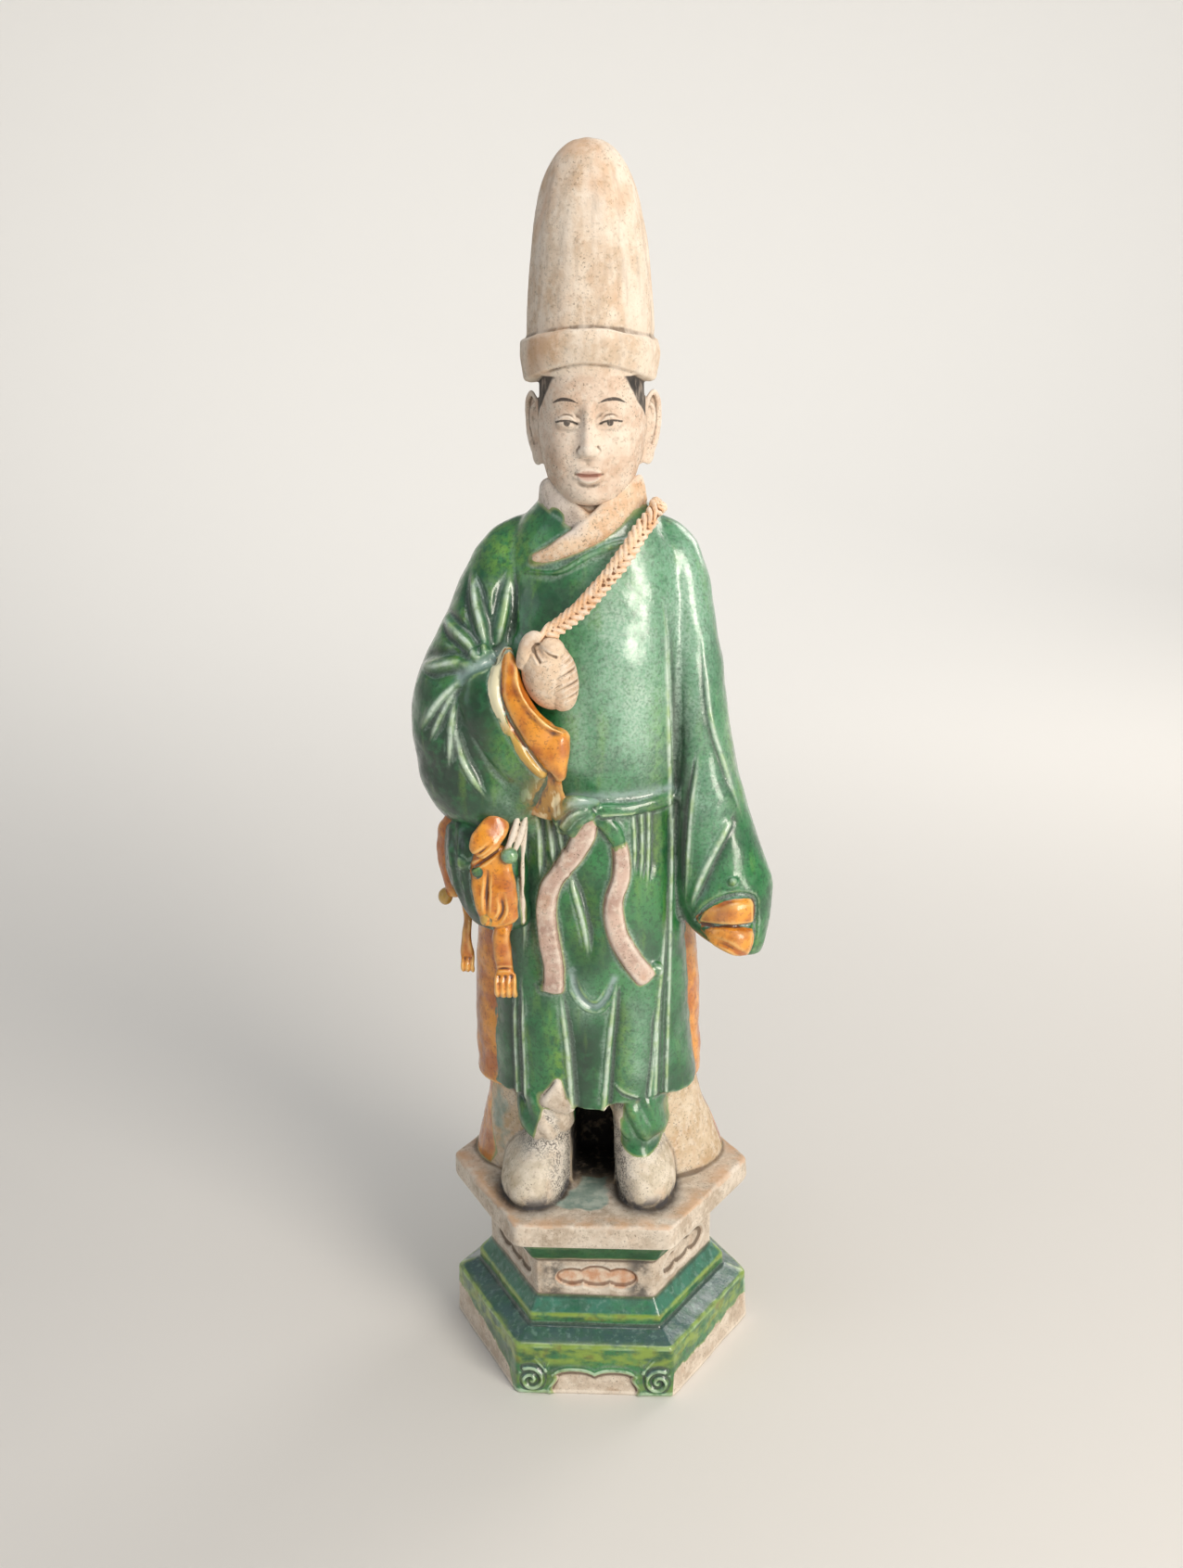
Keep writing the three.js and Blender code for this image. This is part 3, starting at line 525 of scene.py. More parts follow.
# Green lead glaze over the steps of the plinth: it shows yellow on its edges and gives way to matt buff clay.
plinth_glazed, tree = new_material("green_lead_glaze_over_buff_clay")
at = node(tree, "ShaderNodeTexCoord").outputs["Object"]
across, forward, height = (field(at, axis) for axis in "XYZ")
wander = (field(at, (7, 5)) - 0.5) * 9.0
glazed = field(at, "glaze_mm") + wander * mask(at, height, 0.046, 0.03)
glazed = glazed.combined("MINIMUM", (field(at, "apron_mm") + wander * 0.12) * -1.0)
bare = mask(at, glazed, 0.25, -0.25)
slope = field(node(tree, "ShaderNodeNewGeometry").outputs["Normal"], "Z")
slate = coats(
    at, "38595c",
    (height, 0.034, 0.037, "3f7f6c"),
    ((5, 8), 0.42, 0.66, 0.7, "2b5f48"),
    ((3, 8), 0.52, 0.7, 0.5, "7fa39a"),
)
edge_band = mask(at, height, 0.0352, 0.0372) * mask(at, height, 0.0405, 0.039, 0.9)
foot_band = mask(at, height, 0.0155, 0.0205) * mask(at, height, 0.030, 0.0275, 0.95)
bands = edge_band + foot_band + mask(at, height, 0.016, 0.010, 0.45)
colour = coats(
    at, green_glaze(at),
    (mask(at, slope, 0.3, 0.55) * mask(at, (10, 6), 0.24, 0.5, 0.9, 0.35), slate),
    # Paler on ridges: thinner glaze, with a painted highlight.
    (
        mask(at, "crest_mm", 0.05, 0.24, 0.85) * mask(at, (6, 5), 0.34, 0.56, 1.0, 0.25),
        coats(at, "b4d2b4", (height, 0.024, 0.03, "93b247")),
    ),
    (mask(at, (10, 8, 2), 0.36, 0.62) * bands, coats(at, "84a035", ((5, 7), 0.5, 0.7, 0.7, "776b2c"))),
    (glazed, 1.6, 0.2, 0.6, "a9b06c"),
    # Painted shade in the hollows.
    (mask(at, "crest_mm", -0.02, -0.2, 0.8) * mask(at, (5, 5), 0.2, 0.6, 1.0, 0.5), "1d3a2b"),
    # Painted shadow that the slab casts on the glaze below it.
    (height, 0.0665, 0.0685, 0.55, "2f4f2b"),
)
spread_out = (across - AXIS.x).combined("ABSOLUTE")
in_front = mask(at, forward, AXIS.y - 0.0495, AXIS.y - 0.0508)
wash = mask(at, spread_out, 0.013, 0.021) * mask(at, spread_out, 0.029, 0.024) * in_front + 0.1
wash *= mask(at, (6, 6), 0.34, 0.6, 0.8)
# The cartouche's cold paint, peach and cream, with painted shade along the hollows of its carved edge.
painted = coats(at, "cd9c7c", ((6, 4), 0.34, 0.66, "e3d2bf"), ("crest_mm", -0.04, -0.3, 0.75, "6b4a36"))
clay = coats(
    at, bare_clay(at, "dccfbf", "bfae9b", 0.2),
    (wash * mask(at, height, 0.044, 0.048), "55524e"),
    ("cartouche_mm", -0.3, 0.5, painted),
)
fired_clay(at, coats(at, colour, (bare, clay)), bare)
plinth.data.materials.append(plinth_glazed)

# The figure: press-moulded red-buff earthenware in one piece with the slab that it stands on. Robe, train,
# boots and slab are bare clay where the glaze stops; the coat is green and its lining amber lead glaze.
SLAB_THICKNESS = 13
SLAB_RADIUS = FOOT_RADIUS - 1.7
SLAB_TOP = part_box("attendant_body")[0].z + SLAB_THICKNESS * MM


def row_at(rows, value):
    """A smooth curve through rows of numbers, read where the first column has each value."""
    rows = np.array(rows, float)
    value = np.asarray(value, float)
    k = np.clip(np.searchsorted(rows[:, 0], value, side="right") - 1, 0, len(rows) - 2)
    a, b = rows[k], rows[k + 1]
    before = rows[np.maximum(k - 1, 0)]
    after = rows[np.minimum(k + 2, len(rows) - 1)]
    span = (b[..., 0] - a[..., 0])[..., None]
    t = np.clip((value[..., None] - a[..., :1]) / span, 0, 1)
    slope_a = (b - before) / (b[..., :1] - before[..., :1]) * span
    slope_b = (after - a) / (after[..., :1] - a[..., :1]) * span
    return a + (3 - 2 * t) * t * t * (b - a) + t * (1 - t) * ((1 - t) * slope_a - t * slope_b)


def smooth_line(points, count=24):
    """A smooth curve through a few chosen points."""
    points = np.array(points, float)
    gaps = np.linalg.norm(np.diff(points, axis=0), axis=1)
    at = np.concatenate([[0], np.cumsum(gaps)]) / gaps.sum()
    return row_at(np.column_stack([at, points]), np.linspace(0, 1, count))[:, 1:]


def rounded(value, square):
    """A sine or cosine drawn out, so that the circle that it gives goes towards a square."""
    return np.sign(value) * np.abs(value) ** (2 / square)


def level_form(rows, square=2.2, turns=96, step=1.5, carve=None):
    """A closed form from level sections: rows of height, then left, right, front and back reach."""
    low, high = rows[0][0], rows[-1][0]
    table = row_at(rows, np.linspace(low, high, int((high - low) / step) + 2))
    cos, sin = np.cos(around(turns)), np.sin(around(turns))
    across, along = rounded(cos, square), rounded(sin, square)
    rings = []
    for z, left, right, front, back in table:
        x = (left + right) / 2 + (right - left) / 2 * across
        y = (front + back) / 2 + (back - front) / 2 * along
        if carve:
            out = carve(across, along, z)
            x, y = x + out * cos, y + out * sin
        rings.append(np.stack([x, y, np.full(turns, z)], 1))
    return loft(rings)


def spread(values, t):
    """One value, or several spread evenly along a strand, read at each t."""
    values = np.atleast_1d(np.array(values, float))
    return np.interp(t, np.linspace(0, 1, len(values)), values)


def strand(points, width, thick, out=(0, -1, 0), square=3.0, sides=18, step=1.2, blunt=0.8):
    """A band along a curve, as wide as width across the surface it lies on. out points off that surface."""
    points = np.array(points, float)
    length = np.linalg.norm(np.diff(points, axis=0), axis=1).sum()
    count = max(6, int(length / step))
    middle = smooth_line(points, count)
    t = np.linspace(0, 1, count)
    tangent = np.gradient(middle, axis=0)
    tangent /= np.linalg.norm(tangent, axis=1)[:, None]
    normal = np.array([out(x, z) for x, _, z in middle]) if callable(out) else np.tile(out, (count, 1))
    normal = normal - (normal * tangent).sum(1)[:, None] * tangent
    normal /= np.linalg.norm(normal, axis=1)[:, None]
    across = np.cross(normal, tangent)
    w, h = spread(width, t) / 2, spread(thick, t) / 2
    from_end = np.minimum(t, 1 - t) * length
    reach = np.maximum(np.minimum(w, h) * blunt, 0.3)
    tip = np.sqrt(np.clip(1 - (1 - np.clip(from_end / reach, 0, 1)) ** 2, 0.04, 1))
    c, s = rounded(np.cos(around(sides)), square), rounded(np.sin(around(sides)), square)
    rings = middle[:, None, :] + across[:, None, :] * ((w * tip)[:, None] * c)[:, :, None]
    return loft(rings + normal[:, None, :] * ((h * tip)[:, None] * s)[:, :, None])


def ball(middle, half, sides=20, tilt=0.0, power=2.0):
    """A ball stretched to three half sizes, tilted about the y axis."""
    lift = (np.linspace(-math.pi / 2 * 0.97, math.pi / 2 * 0.97, sides // 2))[:, None]
    c, s = np.cos(lift) * np.cos(around(sides)), np.cos(lift) * np.sin(around(sides))
    x, y, z = rounded(c, power) * half[0], rounded(s, power) * half[1], np.sin(lift) * half[2] + 0 * c
    ct, st = math.cos(tilt), math.sin(tilt)
    return loft(np.stack([x * ct + z * st, y, -x * st + z * ct], 2) + np.array(middle))


HEM, WAISTLINE, COAT_SQUARE = 50, 206, 2.4
COAT = [
    (HEM, -53, 50, -42.5, 27), (56, -52.5, 49.5, -42, 27), (90, -52, 47, -42, 28), (150, -49, 44, -41.5, 31),
    (WAISTLINE, -48, 42, -38, 33), (235, -49, 44, -42, 36), (270, -48, 45, -41, 36), (300, -46, 45, -36, 34),
    (320, -42, 42, -31, 31), (335, -34, 34, -27, 27), (346, -24, 25, -22, 22),
]


def coat_front(x, z):
    """The y of the coat's front surface."""
    row = row_at(COAT, z)
    left, right, front, back = (row[..., k] for k in (1, 2, 3, 4))
    across = np.minimum(np.abs((2 * x - left - right) / (right - left)), 0.985)
    return (front + back) / 2 - (back - front) / 2 * (1 - across**COAT_SQUARE) ** (1 / COAT_SQUARE)


def coat_out(x, z):
    slope = (coat_front(x + 1, z) - coat_front(x - 1, z)) / 2
    return np.array([slope, -1.0, 0.0])


def on_coat(pairs, lift):
    return [(x, float(coat_front(x, z)) - lift, z) for x, z in pairs]


NECK_MIDDLE, NECK_RADIUS, NECK_SEAT_RADIUS, NECK_SEAT_LOW = (1, -3), 15, 15.7, 331
TRAIN = [
    (-1, -67, 65, -28, 52), (3, -66.5, 64.5, -28.5, 51.5), (16, -63, 60, -29, 49), (34, -59, 54, -31, 45),
    (HEM + 4, -56.5, 48.5, -32, 42.5),
]
ROBE_SIDES = [
    (HEM + 1, -64, 53, -31, 44), (100, -63, 52, -31, 41), (165, -57, 47, -29, 37), (212, -49, 40, -24, 33),
]
HOLLOW = [
    (-0.5, -13, 9, -70, 10), (36, -13, 9, -70, 10), (44, -11, 7.5, -70, 10), (48.5, -7, 4, -70, 10),
]
BENT_SLEEVE = [
    (189, -56, -24, -30, -8), (192, -63, -20, -37, -2), (197, -70, -18, -42, 4), (210, -79, -15, -49, 10),
    (230, -84.5, -22, -51, 13), (250, -85, -33, -51, 14), (270, -81, -37, -46, 16), (290, -71, -31, -36, 18),
    (310, -62, -26, -25, 19), (325, -53.5, -20, -17, 17), (334, -45, -18, -9, 10), (339, -34, -18, -3, 4),
]
HANGING_SLEEVE = [
    (126, 66, 82, -22, -8), (130, 58, 83.5, -27, -4), (136, 50, 84.5, -30, 0), (146, 42, 86.5, -33, 7),
    (160, 38, 87.5, -33, 10), (178, 37, 82, -31, 13), (200, 36, 75, -29, 15), (228, 35, 68, -26, 17),
    (256, 33, 64, -24, 19), (284, 30, 60, -21, 19), (310, 27, 55, -17, 18), (326, 22, 49, -13, 15),
    (335, 19, 40, -8, 9), (340, 18, 31, -3, 3),
]


def on_form(rows, pairs, lift=0.0):
    """Points on the front of a form of level sections."""
    placed = []
    for x, z in pairs:
        _, left, right, front, back = row_at(rows, z)
        across = min(max((2 * x - left - right) / (right - left), -0.97), 0.97)
        placed.append((x, (front + back) / 2 - (back - front) / 2 * math.sqrt(1 - across**2) - lift, z))
    return placed


def changed(name, mesh, kind, **settings):
    """A mesh as one of Blender's modifiers leaves it."""
    source = add_object(name, mesh)
    change = source.modifiers.new(kind, kind)
    for key, value in settings.items():
        setattr(change, key, value)
    bpy.context.view_layer.update()
    made = bpy.data.meshes.new_from_object(source.evaluated_get(bpy.context.evaluated_depsgraph_get()))
    bpy.data.objects.remove(source)
    return made


def cut(solid, cutter):
    """One closed skin less another."""
    tool = add_object("cutter", make_mesh("cutter", *cutter))
    made = changed("kept", make_mesh("kept", *solid), "BOOLEAN", operation="DIFFERENCE", object=tool, solver="EXACT")
    bpy.data.objects.remove(tool)
    return read_mesh(made)[0], [list(p.vertices) for p in made.polygons]


def joined(solids):
    """Several closed skins as one list of points and faces."""
    points, faces, start = [], [], 0
    for p, f in solids:
        points.append(p)
        faces += [[start + n for n in face] for face in f]
        start += len(p)
    return np.concatenate(points), faces


def fused(name, solids, grain):
    """One skin round several closed forms, its faces about grain millimetres wide."""
    source = make_mesh(name, *joined(solids))
    return changed(name, source, "REMESH", mode="VOXEL", voxel_size=grain * MM, adaptivity=0.0)


def thinned(mesh, triangles):
    """The same skin with fewer faces where it is smooth."""
    mesh.calc_loop_triangles()
    share = triangles / len(mesh.loop_triangles)
    if share >= 1:
        return mesh
    made = changed(mesh.name, mesh, "DECIMATE", ratio=share)
    made.shade_smooth()
    return made


def slab_form():
    corners = [(20, -SLAB_THICKNESS), (SLAB_RADIUS, -SLAB_THICKNESS), (SLAB_RADIUS, 0), (20, 0)]
    return loft(turned(rounded_profile(corners, 1.6, 1.2), around(360), hexagon_reach(around(360), 60)))


# A boot: rows of height, outer reach, inner reach and toe; the shank leans in over a broad rounded foot.
BOOT_RIGHT = [
    (-1, -46.5, -16.5, -52, 0), (2, -48.4, -15.4, -54.6, 0), (6, -49, -15, -55.4, 0), (11, -48.4, -14.8, -54.4, 0),
    (16, -46.4, -14.6, -51.8, 0), (21, -42.8, -14.3, -47.6, 0), (26, -38.2, -14, -43.2, 0),
    (30, -34.8, -13.7, -40.4, 0), (35, -33.4, -13.4, -39.8, 0), (41, -34.4, -13, -40.8, 0),
    (47, -35, -12.6, -41, 0), (58, -35, -12.4, -38, 0),
]
BOOT_LEFT = [
    (-1, 12.4, 38.4, -50, 0), (2, 11, 40, -52.4, 0), (6, 10.4, 40.4, -53, 0), (11, 10.2, 39.8, -52, 0),
    (16, 10, 38.4, -49.6, 0), (21, 9.8, 36, -46.2, 0), (26, 9.6, 33.8, -43, 0), (30, 9.4, 32.6, -41, 0),
    (35, 9.2, 32, -40.4, 0), (58, 9, 32, -38, 0),
]


def trouser(middle, toe):
    """The gathered end of a trouser leg over the top of a boot."""
    sections = ((31.5, 11.5, 14.5), (34, 13.6, 12), (41, 14.6, 11), (52, 14, 12.5), (64, 13, 17))
    rows = [(z, middle - half, middle + half, toe + front, 0) for z, half, front in sections]
    return level_form(rows, 2.3, 96, 1.0, lambda across, along, z: 1.0 * np.cos(9 * across + 0.3 * z) * (along < 0))


# Every fold of the cloth: its line from the top down, how high its ridge stands, how wide it is, how deep the
# groove beside it is, and the side of that groove: 1 to the viewer's right, -1 to the left, 0 on both sides.
ELBOW_FOLDS = [
    ([(-55.4, 318), (-53.6, 309), (-51.6, 301), (-48.8, 292), (-45.2, 281)], 1.8, 1.9, 1.7, 0),
    ([(-36, 319), (-37.2, 309), (-38.8, 299), (-40.4, 290), (-42, 279)], 1.8, 1.9, 1.7, 0),
    ([(-73, 298.4), (-63.4, 292), (-56, 287), (-47, 278)], 1.7, 1.8, 1.6, 0),
    ([(-82, 272.6), (-71, 275.8), (-61, 278.2), (-51, 277)], 1.7, 1.8, 1.6, 0),
    ([(-52.4, 275.5), (-61.6, 267.6), (-69.4, 259.6), (-79.5, 244)], 1.4, 1.9, 1.6, 1),
    ([(-56.2, 271), (-62.6, 262.4), (-67.4, 254.6), (-74, 240)], 1.3, 1.5, 1.6, 1),
    ([(-59, 268), (-61.4, 257), (-62.6, 246), (-64.6, 228)], 1.3, 1.6, 1.6, 1),
    ([(-60.8, 258), (-59.6, 242), (-55.4, 229.4), (-46, 213)], 1.4, 1.7, 1.5, 1),
]
SLEEVE_FOLDS = [
    ([(31.5, 318), (34.9, 294.4), (36.1, 269), (36.9, 240), (37.5, 210), (38, 190), (39.5, 160)], 0.6, 1.4, 2.8, 1),
    ([(51, 293), (52.2, 283), (54, 267), (57, 244), (62.3, 227), (69, 206), (74, 190)], 0.9, 1.2, 0.5, -1),
    ([(51.8, 240), (49.8, 223), (47.5, 205), (46, 180), (44.5, 150)], 1.2, 1.3, 2.4, -1),
    ([(65.5, 196), (57, 180), (50.5, 165), (46.6, 151)], 1.1, 1.7, 1.8, 1),
]
SKIRT_FOLDS = [
    ([(-38.4, 119), (-39.4, 94), (-39.4, 53)], 0.9, 0.9, 1.5, -1),
    ([(-35, 125), (-35, 95), (-34.8, 53)], 1.0, 0.9, 1.7, -1),
    ([(-16.4, 119), (-14.4, 98.7), (-12.4, 78), (-10.8, 50)], 1.3, 1.5, 1.5, 1),
    ([(12.6, 125), (10.2, 108), (7.9, 85.5), (5, 50)], 1.3, 1.5, 2.6, 1),
    ([(32.2, 112), (30.9, 96), (29.7, 77), (27.6, 57)], 0.7, 0.9, 0.8, -1),
    ([(36.3, 160), (34.5, 134), (32.4, 109), (31.2, 83), (30.4, 57)], 0.8, 1.0, 1.2, 1),
    ([(38.6, 196), (37.6, 130), (35.8, 57)], 0.5, 0.9, 1.0, -1),
    ([(-12.4, 180), (-8, 166), (-4.2, 151), (-1, 130)], 1.3, 1.6, 1.8, 1),
    ([(-32.1, 200), (-32.6, 150), (-34.1, 125)], 0.8, 1.0, 0.8, 1),
    ([(-25, 202), (-24.6, 188), (-24.2, 170)], 1.1, 1.2, 1.4, 1),
    ([(-20.2, 202), (-18.9, 190), (-17.4, 176)], 1.1, 1.2, 1.4, 1),
    ([(-15.6, 202), (-14.4, 192), (-12.8, 182)], 0.9, 1.1, 1.2, 1),
    ([(20, 203), (20.8, 188), (20.4, 172)], 0.9, 1.0, 1.4, 1),
    ([(23.9, 203), (24.2, 186), (23.4, 168)], 0.9, 1.0, 1.4, 1),
    ([(27.4, 203), (27.2, 184), (26.4, 164)], 0.8, 1.0, 1.3, 1),
    ([(9, 66), (14.5, 60.5), (21.5, 57)], 0.7, 0.9, 1.2, -1),
]
BACK_FOLDS = [
    ([(-26, 198), (-27, 150), (-30, 55)], 0.9, 1.6, 1.4, 1), ([(-11, 200), (-12, 140), (-13, 53)], 1.0, 1.8, 1.5, 1),
    ([(5, 200), (6, 150), (6, 53)], 0.9, 1.8, 1.4, -1), ([(21, 198), (23, 140), (25, 55)], 0.9, 1.6, 1.4, -1),
    ([(-30, 300), (-33, 270), (-36, 232)], 1.2, 2.4, 1.4, 1), ([(30, 300), (32, 262), (34, 222)], 1.2, 2.4, 1.4, -1),
    ([(-12, 216), (-6, 232), (-2, 262)], 0.8, 2.0, 0.8, 1), ([(14, 216), (9, 230), (6, 252)], 0.8, 2.0, 0.8, -1),
]
KNOT_FOLDS = [
    ([(-13.4, 201), (-8.4, 207), (-1.5, 210.4)], 0.5, 0.8, 1.1, 1),
    ([(6, 204.8), (20, 204.4), (34, 205.8)], 0.5, 1.0, 0.9, -1),
]
ELBOW_PIT = [(-32, 286.5), (-39.8, 282.3), (-47.2, 279), (-53.7, 276), (-57.5, 272)]
SLING = [(-9.9, 126), (-8.3, 116.2), (-3.6, 108.6), (2, 106.4), (6.9, 112), (10.9, 122)]
CUFF_EDGE = [(-36.2, 286), (-40.2, 275.5), (-41, 266), (-37.8, 256.5), (-31.4, 245), (-25, 234.8), (-19, 228)]
CUFF_GAP = [(-38.4, 276), (-38.6, 271), (-38.2, 265), (-34.8, 255), (-28.8, 244.5), (-22.4, 235), (-17, 228)]
MOUTH = [(49.5, 147), (54, 154.5), (61, 160), (70, 162), (77.6, 159.4), (78.6, 150), (78.4, 138), (76, 129)]
# Creases in the amber cuff under the wrist and in the lining of the hanging sleeve.
CUFF_LINES = [
    ([(-15.4, 227), (-16.2, 217), (-15.4, 206)], 0.9, 0.6), ([(-20, 226), (-22.4, 216), (-23, 206)], 0.8, 0.5),
    ([(52.5, 145.5), (64, 146.8), (79, 146.4)], 1.2, 2.2), ([(58, 139), (66, 137), (74, 131)], 1.6, 0.9),
]
# How far the hem rises in front, from right to left.
HEM_LINE = [
    (-56, 3), (-45.9, 3.6), (-33.6, 5.8), (-18.8, 3.7), (-6, 0.4), (5, 0.2), (11.2, 3.5), (22.7, 5), (31, 6.4),
    (40, 5), (52, 3),
]


def fold(points, facing, line, rise, width, drop, way):
    """For each point, how far one fold pushes it up and down, its ridge, to be painted pale as worn glaze and as a
    highlight, and its groove, to be painted dark as shade.

    A fold tapers at both ends, but not where it starts at the belt or runs out at the hem."""
    line = smooth_line(line)
    gap, share, side = distance_to_line(line, points[:, 0], points[:, 2])
    swell = 1 if WAISTLINE - 12 < line[0][1] < WAISTLINE else smoothstep(share, 0, 0.35)
    swell = swell * (1 if line[-1][1] < HEM + 10 else smoothstep(1 - share, 0, 0.35))
    width = width * (0.4 + 0.6 * swell)
    strength = facing * swell
    groove = near(gap, 2.3 * width, width)
    if way:
        beside, steep = gap * np.where(side == 0, 1, side) * way, 1.7 * width
        groove = smoothstep(beside, 0.3 * width, steep) * np.exp(-((beside - steep).clip(0) / (1.6 * width)))
    up, down = strength * rise * near(gap, 0, width), -strength * drop * groove
    return up, down, strength * near(gap, 0, width * 0.62), strength * groove


def all_folds(points, normals):
    """What fold() gives for all folds of the cloth together: the strongest at each point."""
    x, y, z = points.T
    facing = smoothstep(-normals[:, 1], 0.05, 0.4)
    places = (
        (ELBOW_FOLDS, facing * (x < -33)),
        (SLEEVE_FOLDS, facing * (x > 29)),
        (SKIRT_FOLDS, facing * (z < 203) * (x > -45) * (x < 46) * (y < -20) * (y > -46.5)),
        (KNOT_FOLDS, facing * (y < -38) * (x > -18) * (z > 193)),
        (BACK_FOLDS, smoothstep(normals[:, 1], 0.05, 0.4) * (y > 18) * (z > HEM)),
    )
    up, down, ridge, groove = np.zeros((4, len(points)))
    for folds, place in places:
        for one in folds:
            made = fold(points, place, *one)
            down = np.minimum(down, made[1])
            up, ridge, groove = (np.maximum(a, b) for a, b in ((up, made[0]), (ridge, made[2]), (groove, made[3])))
    return up, down, ridge, groove


def gouge(points, facing, line, width, depth, lip=0.0, taper=(0.75, 1, 0.25)):
    """A push for each point from a groove along a line of (x, z): a rounded valley with a lip beside it."""
    gap, share, _ = distance_to_line(smooth_line(line), points[:, 0], points[:, 2])
    valley = np.clip(1 - (gap / (width * 1.25)) ** 2, 0, 1) ** 1.5
    return facing * spread(taper, share) * (lip * near(gap, width * 1.55, width * 0.55) - depth * valley)


